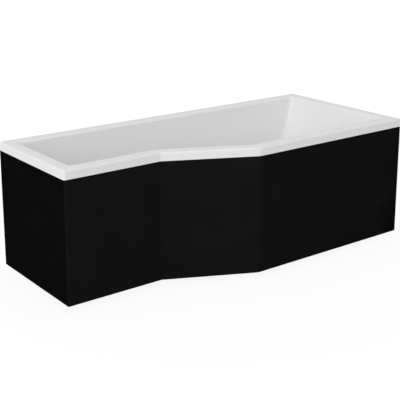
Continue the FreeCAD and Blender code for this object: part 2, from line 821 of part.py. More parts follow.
def build_wall_brackets():
    """Hooked plates on the walls that the rim's skirt drops into."""
    brackets = []
    spots = (("back", "back_bracket_setback", Rotation(Vector(1, 0, 0), 90)),
             ("back", "length - back_bracket_setback", Rotation(Vector(1, 0, 0), 90)),
             ("head", "end_bracket_setback", UP_TO_LEFT))
    for number, (edge, along, inward) in enumerate(spots):
        name = f"wall_bracket_{number}"
        start = f"{along} - bracket_width / 2"
        foot = f"({SKIRT_FOOT} - bracket_drop)"
        plate = box(f"{name}_plate", "bracket_width", "bracket_gauge", "bracket_drop")
        step = box(f"{name}_step", "bracket_width", "sheet + bracket_gauge", "bracket_gauge")
        lip = box(f"{name}_lip", "bracket_width", "bracket_gauge", "bracket_gauge + bracket_lip")
        on_edge(plate, edge, start, "0", foot)
        on_edge(step, edge, start, "0", f"{SKIRT_FOOT} - bracket_gauge")
        on_edge(lip, edge, start, "sheet", f"{SKIRT_FOOT} - bracket_gauge")
        holes = []
        level = f"{SKIRT_FOOT} - bracket_hole_drop"
        for side in ("-", "+"):
            hole = cylinder(f"{name}_hole", "bracket_hole", "bracket_gauge")
            on_edge(hole, edge, f"{along} {side} bracket_hole_pitch / 2", "0", level)
            hole.Placement = Placement(hole.Placement.Base, inward)
            holes.append(hole)
        brackets.append(cut(name, fuse(f"{name}_blank", [plate, step, lip]), group(f"{name}_holes", holes)))
    keep(group("wall_brackets", brackets))


def build_waste():
    """The flange through the bath floor, the cup under it, the pop-up plug and its seals."""
    bore = SLEEVE_BORE
    ring_part = turned("waste_flange_ring", [
        (bore, "-sleeve_length"), ("sleeve_radius", "-sleeve_length"),
        ("sleeve_radius", "flange_seal_height"),
        ("flange_radius - flange_edge", "flange_seal_height"),
        ("flange_radius", "flange_seal_height + flange_edge"),
        ("flange_radius - 2 * flange_edge", f"{FLANGE_TOP} - flange_edge / 2"),
        ("sleeve_radius + flange_edge", FLANGE_TOP), (bore, "flange_edge / 2")])
    at_waste(ring_part)
    hub_foot = "(-hub_drop - hub_height)"
    hub = at_waste(cylinder("waste_hub", "hub_radius", "hub_height"), hub_foot)
    spokes = []
    for number, turn in enumerate(SPOKE_TURNS):
        spoke = box(f"waste_spoke_{number}", f"{bore} + sleeve_wall / 2", "spoke_width", "hub_height")
        east = f"spoke_width / 2 * sin({turn})"
        north = f"-spoke_width / 2 * cos({turn})"
        place(spoke, f"{WASTE_X} + {east}", f"{NARROW_MIDDLE} + {north}", f"floor_height + {hub_foot}",
              Rotation(Vector(0, 0, 1), turn))
        spokes.append(spoke)
    guide = at_waste(cylinder("waste_guide", "stem_radius + stem_clearance", "hub_height"), hub_foot)
    keep(cut("waste_flange", fuse("waste_flange_blank", [ring_part, hub] + spokes), guide))
    seal_bore = "sleeve_radius + thread_clearance"
    keep(at_waste(ring("flange_seal", seal_bore, "flange_seal_radius", "0", "flange_seal_height")))
    keep(at_waste(ring("waste_gasket", seal_bore, "gasket_radius", GASKET_FOOT, "gasket_height")))
    build_waste_body(seal_bore)
    plug_shoulder = "plug_radius - plug_edge / 2"
    plug_top = f"{PLUG_FOOT} + plug_edge + plug_crown"
    keep(at_waste(turned("plug_cap", [
        ("0", PLUG_FOOT), (plug_shoulder, PLUG_FOOT), ("plug_radius", f"{PLUG_FOOT} + plug_edge / 2"),
        (plug_shoulder, f"{PLUG_FOOT} + plug_edge"), ("plug_crown_radius", plug_top), ("0", plug_top)])))
    keep(at_waste(ring("plug_seal", "stem_radius", f"{bore} - plug_gap", f"({PLUG_FOOT} - plug_seal_height)",
                       "plug_seal_height")))
    keep(at_waste(turned("plug_stem", [
        ("0", f"{PLUG_FOOT} - stem_length"), ("stem_radius", f"{PLUG_FOOT} - stem_length"),
        ("stem_radius", PLUG_FOOT), ("0", PLUG_FOOT)])))
    carrier_top = f"({PLUG_FOOT} - stem_length)"
    keep(at_waste(turned("lift_carrier", [
        ("0", f"{carrier_top} - carrier_height"), ("carrier_radius", f"{carrier_top} - carrier_height"),
        ("carrier_radius", carrier_top), ("0", carrier_top)])))


def build_waste_body(collar_bore):
    """The cup under the floor, with the overflow's port, the cable's ferrule and the dip tube to the trap."""
    inside = "cup_radius - cup_wall"
    dip_bore = "dip_radius - dip_wall"
    collar_foot = f"({GASKET_FOOT} - collar_height)"
    cup_top = f"({collar_foot} - collar_height)"
    ceiling = "-sleeve_length - cup_wall"
    body = turned("waste_body_turned", [
        (collar_bore, GASKET_FOOT), ("collar_radius", GASKET_FOOT), ("collar_radius", collar_foot),
        ("cup_radius", cup_top), ("cup_radius", f"{CUP_FLOOR} - cup_wall"),
        ("neck_radius", f"{CUP_FLOOR} - cup_wall"), ("neck_radius", TRAP_TOP), ("dip_radius", TRAP_TOP),
        ("dip_radius", f"{TRAP_TOP} - dip_length"), (dip_bore, f"{TRAP_TOP} - dip_length"),
        (dip_bore, CUP_FLOOR), (inside, CUP_FLOOR), (inside, ceiling), (collar_bore, ceiling)])
    at_waste(body)
    level = f"floor_height + {PORT_LEVEL}"
    near = f"({WASTE_X} - cup_radius / 2)"
    port = cylinder("waste_port", "pipe_radius", "port_reach - cup_radius / 2")
    place(port, near, NARROW_MIDDLE, level, UP_TO_LEFT)
    ferrule = cylinder("waste_ferrule", "ferrule_radius", "ferrule_reach")
    place(ferrule, WASTE_X, f"{NARROW_MIDDLE} + cable_offset", level, UP_TO_LEFT)
    void = at_waste(cylinder("waste_void", inside, f"{ceiling} - {CUP_FLOOR}"), CUP_FLOOR)
    port_bore = cylinder("waste_port_bore", "pipe_radius - pipe_wall", "port_reach - cup_radius / 2")
    place(port_bore, near, NARROW_MIDDLE, level, UP_TO_LEFT)
    solid = fuse("waste_body_solid", [body, port, ferrule])
    keep(cut("waste_body", solid, group("waste_body_voids", [void, port_bore])))


def build_trap():
    """The bottle trap under the cup, with its nut, clean-out cap and outlet pipe towards the wall."""
    inside = "(trap_radius - trap_wall)"
    neck = "neck_radius + thread_clearance"
    dip = "dip_radius + thread_clearance"
    keep(at_waste(ring("trap_nut", neck, "trap_nut_radius", TRAP_TOP, "trap_nut_height")))
    ceiling = f"({TRAP_TOP} - trap_top)"
    bottle = at_waste(turned("trap_bottle", [
        (dip, TRAP_TOP), ("trap_radius", TRAP_TOP), ("trap_radius", TRAP_FOOT), (inside, TRAP_FOOT),
        (inside, ceiling), (dip, ceiling)]))
    level = f"floor_height + {OUTLET_LEVEL}"
    joint = f"{NARROW_MIDDLE} + spigot_reach"
    start = f"({dip} + trap_wall)"
    length = f"spigot_reach - {start}"
    spigot = cylinder("trap_spigot", "outlet_radius", length)
    place(spigot, WASTE_X, f"{NARROW_MIDDLE} + {start}", level, UP_TO_BACK)
    void = at_waste(cylinder("trap_void", inside, "trap_height - trap_top"), TRAP_FOOT)
    outlet_bore = "outlet_radius - outlet_wall"
    bore = cylinder("trap_spigot_bore", outlet_bore, length)
    place(bore, WASTE_X, f"{NARROW_MIDDLE} + {start}", level, UP_TO_BACK)
    solid = fuse("trap_solid", [bottle, spigot])
    keep(cut("trap_body", solid, group("trap_voids", [void, bore])))
    plug = f"{inside} - thread_clearance"
    keep(at_waste(turned("trap_cap", [
        ("0", f"{TRAP_FOOT} - trap_cap_height"), ("trap_cap_radius", f"{TRAP_FOOT} - trap_cap_height"),
        ("trap_cap_radius", TRAP_FOOT), (plug, TRAP_FOOT), (plug, f"{TRAP_FOOT} + trap_cap_spigot"),
        (f"{plug} - trap_wall", f"{TRAP_FOOT} + trap_cap_spigot"), (f"{plug} - trap_wall", TRAP_FOOT),
        ("0", TRAP_FOOT)])))
    nut_bore = "outlet_radius + thread_clearance"
    nut = ring("outlet_nut", nut_bore, "outlet_nut_radius", "0", "outlet_nut_length")
    keep(place(nut, WASTE_X, f"{joint} - outlet_nut_length / 2", level, UP_TO_BACK))
    run = f"({BACK} - outlet_setback - ({joint}))"
    stop = f"({run} - outlet_free)"
    pipe = turned("outlet_pipe", [
        (outlet_bore, "0"), ("outlet_radius", "0"), ("outlet_radius", f"{stop} - outlet_stop_width"),
        ("outlet_stop_radius", f"{stop} - outlet_stop_width"), ("outlet_stop_radius", stop),
        ("outlet_radius", stop), ("outlet_radius", run), (outlet_bore, run)])
    keep(place(pipe, WASTE_X, joint, level, UP_TO_BACK))


def build_overflow():
    """The overflow's plate, knob and housing, square to the leaning wall of the foot end."""
    plate = new_body("overflow_faceplate")
    face = new_sketch(plate, "faceplate_outline", "XY_Plane")
    draw_circle(face, "0", "0", "faceplate_radius")
    draw_circle(face, "0", "0", "spindle_radius + spindle_clearance")
    for side in ("-", "+"):
        draw_circle(face, "0", f"{side}fixing_circle", "overflow_screw_radius")
    for turn in WATER_HOLE_TURNS:
        draw_circle(face, f"fixing_circle * cos({turn})", f"fixing_circle * sin({turn})", "water_hole")
    add_pad(plate, face, "faceplate_height")
    keep(at_overflow(plate))
    screws = []
    for side in ("-", "+"):
        across = f"{side}fixing_circle"
        head = cylinder("overflow_screw_head_form", "overflow_screw_head", "overflow_screw_head_height")
        shank = cylinder("overflow_screw_shank", "overflow_screw_radius",
                         f"faceplate_height - {FACEPLATE_BACK} + overflow_screw_depth")
        at_overflow(head, "faceplate_height", across)
        at_overflow(shank, f"{FACEPLATE_BACK} - overflow_screw_depth", across)
        screws.append(fuse("overflow_screw", [head, shank]))
    screw_group = keep(group("overflow_screws", screws))
    gasket = ring("overflow_gasket", "overflow_hole", "overflow_gasket_radius", "0", "overflow_gasket_height")
    keep(at_overflow(gasket, FACEPLATE_BACK))
    build_housing(screw_group)
    build_knob()


def build_housing(screws):
    """The housing behind the wall, with a stub for the hose and a ferrule for the cable."""
    flange = at_overflow(cylinder("housing_flange_form", "overflow_gasket_radius", "housing_flange"),
                         f"{FACEPLATE_BACK} - housing_flange")
    drum = at_overflow(cylinder("housing_drum", "housing_radius", "housing_depth"), HOUSING_BACK)
    stub = cylinder("housing_stub", "pipe_radius", "stub_drop - pipe_radius")
    place(stub, PIPE_X, NARROW_MIDDLE, f"{PIPE_Z} - stub_drop")
    ferrule = cylinder("housing_ferrule", "ferrule_radius", "ferrule_drop - ferrule_radius")
    place(ferrule, PIPE_X, f"{NARROW_MIDDLE} + cable_offset", f"{PIPE_Z} - ferrule_drop")
    void = cylinder("housing_void", "housing_radius - housing_wall", "housing_depth - housing_wall")
    at_overflow(void, f"{HOUSING_BACK} + housing_wall")
    bore = cylinder("housing_stub_bore", "pipe_radius - pipe_wall", "stub_drop - pipe_radius - housing_wall")
    place(bore, PIPE_X, NARROW_MIDDLE, f"{PIPE_Z} - stub_drop")
    solid = fuse("housing_solid", [flange, drum, stub, ferrule])
    shell = cut("housing_shell", solid, group("housing_voids", [void, bore]))
    posts = []
    for side in ("-", "+"):
        post = cylinder("housing_post", "post_radius", "housing_depth - housing_wall / 2")
        posts.append(at_overflow(post, f"{HOUSING_BACK} + housing_wall / 2", f"{side}fixing_circle"))
    keep(cut("overflow_body", fuse("housing_with_posts", [shell] + posts), screws))


def build_knob():
    """The scalloped knob, the spindle through the plate, and the crank that pulls the cable."""
    top = "(knob_standoff + knob_height)"
    knob = turned("overflow_knob", [
        ("0", "knob_standoff"), ("knob_radius - knob_edge / 2", "knob_standoff"),
        ("knob_radius", "knob_standoff + knob_edge / 2"), ("knob_radius", f"{top} - knob_edge"),
        ("knob_radius - knob_edge", f"{top} - knob_edge / 4"), ("knob_crown", top), ("0", top)])
    doc.recompute()
    scallop = new_sketch(knob, "knob_scallop", "XY_Plane", top)
    draw_circle(scallop, "knob_radius + scallop_radius - scallop_bite", "0", "scallop_radius")
    bite = knob.newObject("PartDesign::Pocket", "knob_scallop_cut")
    bite.Profile = scallop
    bind(bite, "Length", "knob_height")
    doc.recompute()
    around = knob.newObject("PartDesign::PolarPattern", "knob_scallops")
    around.Originals = [bite]
    around.Axis = (next(line for line in knob.Origin.OriginFeatures if line.Role == "Z_Axis"), [""])
    around.Angle = 360
    around.Occurrences = SCALLOPS
    knob.Tip = around
    keep(at_overflow(knob))
    reach = f"({FACEPLATE_BACK} - spindle_reach)"
    spindle = turned("knob_spindle", [
        ("0", reach), ("spindle_radius", reach), ("spindle_radius", "knob_standoff"), ("0", "knob_standoff")])
    keep(at_overflow(spindle))
    crank = turned("cable_crank", [
        ("0", f"{reach} - crank_height"), ("crank_radius", f"{reach} - crank_height"),
        ("crank_radius", reach), ("0", reach)])
    keep(at_overflow(crank))


HOSE_TOP = f"({PIPE_Z} - stub_drop + stub_grip)"
ELBOW_LEVEL = f"(floor_height + {PORT_LEVEL})"
ELBOW_TOP = f"({ELBOW_LEVEL} + elbow_rise)"
HOSE_FOOT = f"({ELBOW_TOP} - stub_grip)"


def build_hose():
    """The ribbed overflow hose between two plain cuffs, pushed over the housing's stub and the elbow."""
    bore = value("pipe_radius + hose_clearance")
    root = bore + value("hose_wall")
    crest = root + value("hose_rib_height")
    foot, top = value(HOSE_FOOT), value(HOSE_TOP)
    ribbed_from = foot + value("hose_cuff")
    ribbed_length = top - value("hose_cuff") - ribbed_from
    ribs = int(ribbed_length / value("hose_rib_pitch"))
    pitch = ribbed_length / ribs
    sections = [(foot, root)]
    for rib in range(ribs):
        start = ribbed_from + rib * pitch
        quarters = [start + quarter * pitch / 4 for quarter in range(4)]
        sections += zip(quarters, (root, crest, crest, root))
    sections += [(ribbed_from + ribbed_length, root), (top, root)]
    middle = (value(PIPE_X), value(NARROW_MIDDLE))
    wires = [Part.Wire(Part.Circle(Vector(*middle, level), Vector(0, 0, 1), radius).toShape())
             for level, radius in sections]
    ribbed = Part.makeLoft(wires, True, True)
    hose = doc.addObject("Part::Feature", "overflow_hose")
    hose.Label = "overflow_hose"
    hose.Shape = ribbed.cut(Part.makeCylinder(bore, top - foot, Vector(*middle, foot)))
    keep(hose)
    print(f"overflow hose: {ribs} ribs, {pitch:.2f} mm apart")


def build_pipework():
    """The hose, its elbow to the waste, their nuts, and the control cable."""
    build_hose()
    port_end = f"{WASTE_X} - port_reach"
    route = [(PIPE_X, ELBOW_TOP), (PIPE_X, ELBOW_LEVEL, "elbow_bend"), (port_end, ELBOW_LEVEL)]
    keep(bent_tube("overflow_elbow", route, NARROW_MIDDLE, "pipe_radius", "pipe_radius - pipe_wall"))
    cuff = "pipe_radius + hose_clearance + hose_wall + hose_clearance"
    nuts = []
    for name, foot in (("upper", f"{HOSE_TOP} - pipe_nut_length"), ("lower", HOSE_FOOT)):
        nut = ring(f"{name}_hose_nut", cuff, "pipe_nut_radius", "0", "pipe_nut_length")
        nuts.append(place(nut, PIPE_X, NARROW_MIDDLE, foot))
    nut = ring("port_nut", "pipe_radius + thread_clearance", "pipe_nut_radius", "0", "pipe_nut_length")
    nuts.append(place(nut, f"{port_end} - pipe_nut_length / 2", NARROW_MIDDLE, ELBOW_LEVEL, UP_TO_RIGHT))
    keep(group("hose_nuts", nuts))
    route = [(PIPE_X, f"{PIPE_Z} - ferrule_drop"), (PIPE_X, ELBOW_LEVEL, "cable_bend"),
             (f"{WASTE_X} - ferrule_reach", ELBOW_LEVEL)]
    keep(bent_tube("control_cable", route, f"{NARROW_MIDDLE} + cable_offset", "cable_radius"))


def check_and_write():
    """Every object is sound before any file is written."""
    doc.recompute()
    for thing in doc.Objects:
        if "Invalid" in thing.State or "Error" in thing.State:
            raise RuntimeError(f"{thing.Label}: {thing.State}")
    for thing in sub_parts:
        if thing.Shape.isNull() or not thing.Shape.isValid() or not thing.Shape.Solids:
            raise RuntimeError(f"{thing.Label} has no sound shape")
    os.makedirs("parts", exist_ok=True)
    for thing in sub_parts:
        thing.Shape.exportStep(f"parts/{thing.Label}.step")
    print(f"{len(sub_parts)} sub-parts written")


build_bath()
build_battens_and_clips()
build_panels()
build_legs()
build_wall_brackets()
build_waste()
build_trap()
build_overflow()
build_pipework()
check_and_write()
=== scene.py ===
import json
import math

import bmesh
import bpy
from mathutils import Matrix, Vector


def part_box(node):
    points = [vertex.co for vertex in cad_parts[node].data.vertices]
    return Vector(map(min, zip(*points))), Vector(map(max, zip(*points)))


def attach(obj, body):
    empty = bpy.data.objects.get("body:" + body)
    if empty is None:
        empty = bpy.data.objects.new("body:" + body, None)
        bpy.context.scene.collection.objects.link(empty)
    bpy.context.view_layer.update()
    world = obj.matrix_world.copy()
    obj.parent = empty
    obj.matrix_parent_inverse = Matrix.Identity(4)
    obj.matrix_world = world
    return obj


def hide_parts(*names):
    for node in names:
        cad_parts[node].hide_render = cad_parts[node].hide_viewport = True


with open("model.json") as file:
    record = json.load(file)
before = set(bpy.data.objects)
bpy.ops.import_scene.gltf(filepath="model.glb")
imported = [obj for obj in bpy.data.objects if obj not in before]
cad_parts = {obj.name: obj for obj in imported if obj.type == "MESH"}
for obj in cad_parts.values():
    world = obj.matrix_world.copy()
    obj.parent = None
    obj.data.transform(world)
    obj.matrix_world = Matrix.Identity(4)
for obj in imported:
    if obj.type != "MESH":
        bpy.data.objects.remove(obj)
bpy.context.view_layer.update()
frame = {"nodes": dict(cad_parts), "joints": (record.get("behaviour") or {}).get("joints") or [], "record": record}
NODES = frame["nodes"]
SCENE = bpy.context.scene
SCENE.view_settings.view_transform = "Standard"
MM = 0.001
UP = Vector((0, 0, 1))
ALONG = Vector((1, 0, 0))
ACROSS = Vector((0, 1, 0))

# The camera that took the photograph, in metres and degrees
CAMERA_PLACE = (-2.4342, -3.1250, 1.5315)
CAMERA_YAW = 37.118
CAMERA_PITCH = 13.923
CAMERA_LENS = 81.8
CAMERA_SHIFT = (0.0052, -0.1708)
SENSOR_WIDTH = 36.0
# The turn about X at which a camera looks at the horizon
LEVEL_TILT = 90


def make_camera():
    """A camera that stands level from side to side."""
    data = bpy.data.cameras.new("photo_camera")
    data.sensor_width = SENSOR_WIDTH
    data.lens = CAMERA_LENS
    data.shift_x, data.shift_y = CAMERA_SHIFT
    camera = bpy.data.objects.new("photo_camera", data)
    camera.location = CAMERA_PLACE
    camera.rotation_euler = (math.radians(LEVEL_TILT - CAMERA_PITCH), 0, math.radians(-CAMERA_YAW))
    SCENE.collection.objects.link(camera)
    SCENE.camera = camera


# Square lamps: name, place, the point it looks at, its side in metres and its power in watts
BATH_MIDDLE = (0.0, 0.0, 0.4)
GROUND_MIDDLE = (0.0, 0.0, 0.0)
LIGHTS = (
    ("left_window", (-9.0, -0.8, 3.0), BATH_MIDDLE, 5.0, 272.0),
    ("front_left_window", (-6.4, -6.4, 4.0), BATH_MIDDLE, 5.0, 124.0),
    ("front_window", (-1.6, -9.0, 4.5), BATH_MIDDLE, 5.0, 116.0),
    ("front_right_window", (5.5, -7.5, 4.0), BATH_MIDDLE, 5.0, 54.0),
    ("top_window", (0.0, 0.0, 8.0), GROUND_MIDDLE, 6.0, 162.0),
)
SKY_STRENGTH = 0.33
SKY_COLOUR = (1.0, 1.0, 1.0, 1.0)


def make_lights():
    """Wide soft lamps round the front and left of the bath, and one over it."""
    for name, place, target, side, power in LIGHTS:
        data = bpy.data.lights.new(name, "AREA")
        data.shape = "SQUARE"
        data.size = side
        data.energy = power
        lamp = bpy.data.objects.new(name, data)
        lamp.location = place
        lamp.rotation_mode = "QUATERNION"
        lamp.rotation_quaternion = (Vector(target) - Vector(place)).to_track_quat("-Z", "Y")
        SCENE.collection.objects.link(lamp)


# The range in which most values of a noise lie, and most greys of flakes
NOISE_RANGE = (0.3, 0.7)
FLAKE_RANGE = (0.2, 0.8)
RAMP_MIDDLE = 0.5


class Nodes:
    """A node tree with short calls for adding and joining nodes."""

    def __init__(self, tree):
        self.tree = tree
        tree.nodes.clear()

    def add(self, kind, **settings):
        node = self.tree.nodes.new(kind)
        for name, setting in settings.items():
            setattr(node, name, setting)
        return node

    def join(self, output, socket):
        self.tree.links.new(output, socket)

    def seen(self):
        """1 for camera, glossy and transmission rays, and 0 for the rays that light the object."""
        path = self.add("ShaderNodeLightPath")
        either = self.largest(path.outputs["Is Camera Ray"], path.outputs["Is Glossy Ray"])
        return self.largest(either, path.outputs["Is Transmission Ray"])

    def largest(self, *outputs):
        """The largest of some values."""
        best = outputs[0]
        for output in outputs[1:]:
            node = self.add("ShaderNodeMath", operation="MAXIMUM")
            self.join(best, node.inputs[0])
            self.join(output, node.inputs[1])
            best = node.outputs[0]
        return best

    def sized(self, size, turn=0.0):
        """Object coordinates with a unit of this size in metres, turned by some degrees about Z."""
        place = self.add("ShaderNodeTexCoord")
        mapping = self.add("ShaderNodeMapping", vector_type="TEXTURE")
        mapping.inputs["Rotation"].default_value = (0, 0, math.radians(turn))
        mapping.inputs["Scale"].default_value = size if isinstance(size, tuple) else (size, size, size)
        self.join(place.outputs["Object"], mapping.inputs["Vector"])
        return mapping.outputs["Vector"]

    def noise(self, size, turn=0.0, detail=2.0):
        """Soft random blots about as large as the size."""
        node = self.add("ShaderNodeTexNoise")
        node.inputs["Scale"].default_value = 1.0
        node.inputs["Detail"].default_value = detail
        self.join(self.sized(size, turn), node.inputs["Vector"])
        return node.outputs[0]

    def flakes(self, size, turn=0.0):
        """A random grey for each of the cells that fill the surface."""
        node = self.add("ShaderNodeTexVoronoi")
        node.inputs["Scale"].default_value = 1.0
        self.join(self.sized(size, turn), node.inputs["Vector"])
        grey = self.add("ShaderNodeRGBToBW")
        self.join(node.outputs["Color"], grey.inputs[0])
        return grey.outputs[0]

    def bands(self, size, wander, axis="Z"):
        """Even lines across an axis, pushed about by noise."""
        node = self.add("ShaderNodeTexWave", bands_direction=axis)
        node.inputs["Scale"].default_value = 1.0
        node.inputs["Distortion"].default_value = wander
        self.join(self.sized(size), node.inputs["Vector"])
        return node.outputs["Fac"]

    def between(self, value, low, high, span=NOISE_RANGE):
        """A value's usual range spread from low to high."""
        node = self.add("ShaderNodeMapRange")
        node.inputs["From Min"].default_value, node.inputs["From Max"].default_value = span
        node.inputs["To Min"].default_value = low
        node.inputs["To Max"].default_value = high
        self.join(value, node.inputs["Value"])
        return node.outputs["Result"]

    def tones(self, value, colours, span=NOISE_RANGE):
        """Colours laid evenly over a value's usual range."""
        least, most = span
        node = self.add("ShaderNodeValToRGB")
        stops = node.color_ramp.elements
        while len(stops) < len(colours):
            stops.new(RAMP_MIDDLE)
        for number, colour in enumerate(colours):
            stops[number].position = least + (most - least) * number / (len(colours) - 1)
            stops[number].color = (*colour, 1.0)
        self.join(value, node.inputs["Fac"])
        return node.outputs["Color"]

    def over(self, mask, below, above):
        """One colour over another where the mask is 1."""
        node = self.add("ShaderNodeMix", data_type="RGBA")
        self.join(mask, node.inputs["Factor"])
        self.join(below, node.inputs["A"])
        self.join(above, node.inputs["B"])
        return node.outputs["Result"]

    def bump(self, height, depth, under=None):
        """A normal from a height of 0 to 1, with its depth in millimetres."""
        node = self.add("ShaderNodeBump")
        node.inputs["Distance"].default_value = depth * MM
        self.join(height, node.inputs["Height"])
        if under:
            self.join(under, node.inputs["Normal"])
        return node.outputs["Normal"]


def make_sky():
    """White where it is seen or mirrored, and a plain soft light for everything else."""
    world = bpy.data.worlds.new("studio")
    SCENE.world = world
    world.use_nodes = True
    nodes = Nodes(world.node_tree)
    strength = nodes.add("ShaderNodeMix", data_type="FLOAT")
    strength.inputs["A"].default_value = SKY_STRENGTH
    strength.inputs["B"].default_value = 1.0
    nodes.join(nodes.seen(), strength.inputs["Factor"])
    sky = nodes.add("ShaderNodeBackground")
    sky.inputs["Color"].default_value = SKY_COLOUR
    nodes.join(strength.outputs["Result"], sky.inputs["Strength"])
    out = nodes.add("ShaderNodeOutputWorld")
    nodes.join(sky.outputs[0], out.inputs["Surface"])


# The floor's side in metres
FLOOR_SIZE = 60.0
# The floor lies just under the pads of feet that are screwed out to the end, so it hides none of them
FLOOR_CLEARANCE = 0.001
FOOT_REACH = max(joint["range_m"][1] for joint in frame["joints"] if joint["name"].endswith("_level"))
FLOOR_LEVEL = -FOOT_REACH - FLOOR_CLEARANCE
FLOOR_COLOUR = (0.8, 0.8, 0.8, 1.0)
FLOOR_SHADOW_COLOUR = (0.12, 0.12, 0.12, 1.0)
# How brightly the floor is seen near the object and far from it, and where that changes, in metres; the dimmer
# glow near the object is painted shade round it
FLOOR_GLOW_WITH_PAINTED_SHADE = (0.90, 1.0)
FLOOR_PAINTED_SHADE_REACH = (1.0, 2.6)


def make_floor():
    """A pale floor, nearly white where it is seen, with the object's shadow and a painted shade round the object
    where its glow is dimmer, and clear from below.
    """
    mesh = bpy.data.meshes.new("floor")
    half = FLOOR_SIZE / 2
    corners = [(x * half, y * half, FLOOR_LEVEL) for x, y in ((-1, -1), (1, -1), (1, 1), (-1, 1))]
    mesh.from_pydata(corners, [], [(0, 1, 2, 3)])
    floor = bpy.data.objects.new("floor", mesh)
    SCENE.collection.objects.link(floor)
    material = bpy.data.materials.new("floor")
    material.use_nodes = True
    nodes = Nodes(material.node_tree)
    lit = nodes.add("ShaderNodeBsdfDiffuse")
    lit.inputs["Color"].default_value = FLOOR_COLOUR
    shade = nodes.add("ShaderNodeBsdfDiffuse")
    shade.inputs["Color"].default_value = FLOOR_SHADOW_COLOUR
    glow = nodes.add("ShaderNodeEmission")
    reach = nodes.add("ShaderNodeVectorMath", operation="LENGTH")
    nodes.join(nodes.sized(1.0), reach.inputs[0])
    # Painted shade: the floor's glow is dimmer near the object and full white further off
    glow_with_painted_shade = nodes.between(reach.outputs["Value"], *FLOOR_GLOW_WITH_PAINTED_SHADE, span=FLOOR_PAINTED_SHADE_REACH)
    nodes.join(glow_with_painted_shade, glow.inputs["Strength"])
    pale = nodes.add("ShaderNodeAddShader")
    nodes.join(shade.outputs[0], pale.inputs[0])
    nodes.join(glow.outputs[0], pale.inputs[1])
    mix = nodes.add("ShaderNodeMixShader")
    nodes.join(nodes.seen(), mix.inputs[0])
    nodes.join(lit.outputs[0], mix.inputs[1])
    nodes.join(pale.outputs[0], mix.inputs[2])
    below = nodes.add("ShaderNodeNewGeometry")
    clear = nodes.add("ShaderNodeBsdfTransparent")
    one_way = nodes.add("ShaderNodeMixShader")
    nodes.join(below.outputs["Backfacing"], one_way.inputs[0])
    nodes.join(mix.outputs[0], one_way.inputs[1])
    nodes.join(clear.outputs[0], one_way.inputs[2])
    out = nodes.add("ShaderNodeOutputMaterial")
    nodes.join(one_way.outputs[0], out.inputs["Surface"])
    mesh.materials.append(material)


# Materials: each has its own colours, sheen and relief, all from procedural nodes

def surface(name, metallic=0.0, level=0.5):
    """An empty material and its shader; the caller joins colour, roughness and normal."""
    material = bpy.data.materials.new(name)
    material.use_nodes = True
    nodes = Nodes(material.node_tree)
    shader = nodes.add("ShaderNodeBsdfPrincipled")
    shader.inputs["Metallic"].default_value = metallic
    shader.inputs["Specular IOR Level"].default_value = level
    out = nodes.add("ShaderNodeOutputMaterial")
    nodes.join(shader.outputs[0], out.inputs["Surface"])
    return material, nodes, shader


def dress(nodes, shader, colour, roughness, normal):
    """Joins a material's colour, roughness and normal to its shader."""
    nodes.join(colour, shader.inputs["Base Color"])
    nodes.join(roughness, shader.inputs["Roughness"])
    nodes.join(normal, shader.inputs["Normal"])


ACRYLIC_TONES = ((0.872, 0.872, 0.869), (0.878, 0.878, 0.875))


def acrylic():
    """White sheet with a soft sheen and the faint ripple of a formed surface."""
    material, nodes, shader = surface("acrylic", level=0.06)
    colour = nodes.tones(nodes.noise(size=0.30), ACRYLIC_TONES)
    roughness = nodes.between(nodes.noise(size=0.20), low=0.29, high=0.32)
    dress(nodes, shader, colour, roughness, nodes.bump(nodes.noise(size=0.03), depth=0.02))
    return material


PANEL_TONES = ((0.0071, 0.0071, 0.0071), (0.0087, 0.0087, 0.0087))
NO_EDGE_TINT = (0.0, 0.0, 0.0, 1.0)


def panel_black():
    """Satin black sheet: dark under any light, and darker still where it is seen at a slant."""
    material, nodes, shader = surface("panel_black", metallic=0.55, level=0.0)
    shader.inputs["Specular Tint"].default_value = NO_EDGE_TINT
    colour = nodes.tones(nodes.noise(size=0.12, detail=4.0), PANEL_TONES)
    roughness = nodes.between(nodes.noise(size=0.02, detail=5.0), low=0.42, high=0.52)
    dress(nodes, shader, colour, roughness, nodes.bump(nodes.noise(size=0.0015), depth=0.02))
    return material


RESIN_TONES = ((0.40, 0.36, 0.24), (0.52, 0.48, 0.35), (0.60, 0.56, 0.43))
STRAND_TONES = ((0.60, 0.57, 0.46), (0.74, 0.72, 0.62))
# The size of a strand along X, Y and Z in metres, and its turn in degrees
STRAND_SIZES = (
    ((0.045, 0.0014, 0.0014), 25),
    ((0.0014, 0.045, 0.0014), 10),
    ((0.0014, 0.0014, 0.045), 0),
    ((0.040, 0.0016, 0.0030), -35),
)
# The range of the noise at which a strand begins and is full
STRAND_RANGE = (0.56, 0.64)


def glass_fibre():
    """Chopped strands of glass, lying every way in sprayed resin."""
    material, nodes, shader = surface("glass_fibre")
    strands = []
    for size, turn in STRAND_SIZES:
        streaks = nodes.noise(size, turn, detail=1.0)
        strands.append(nodes.between(streaks, low=0.0, high=1.0, span=STRAND_RANGE))
    fibres = nodes.largest(*strands)
    resin = nodes.tones(nodes.noise(size=0.06, detail=5.0), RESIN_TONES)
    glass = nodes.tones(nodes.noise(size=0.02), STRAND_TONES)
    colour = nodes.over(fibres, resin, glass)
    roughness = nodes.between(nodes.noise(size=0.03, detail=3.0), low=0.34, high=0.62)
    waves = nodes.bump(nodes.noise(size=0.035, detail=3.0), depth=1.6)
    dress(nodes, shader, colour, roughness, nodes.bump(fibres, depth=0.35, under=waves))
    return material


CHIP_TONES = ((0.24, 0.14, 0.065), (0.37, 0.24, 0.12), (0.46, 0.32, 0.17), (0.56, 0.42, 0.25))


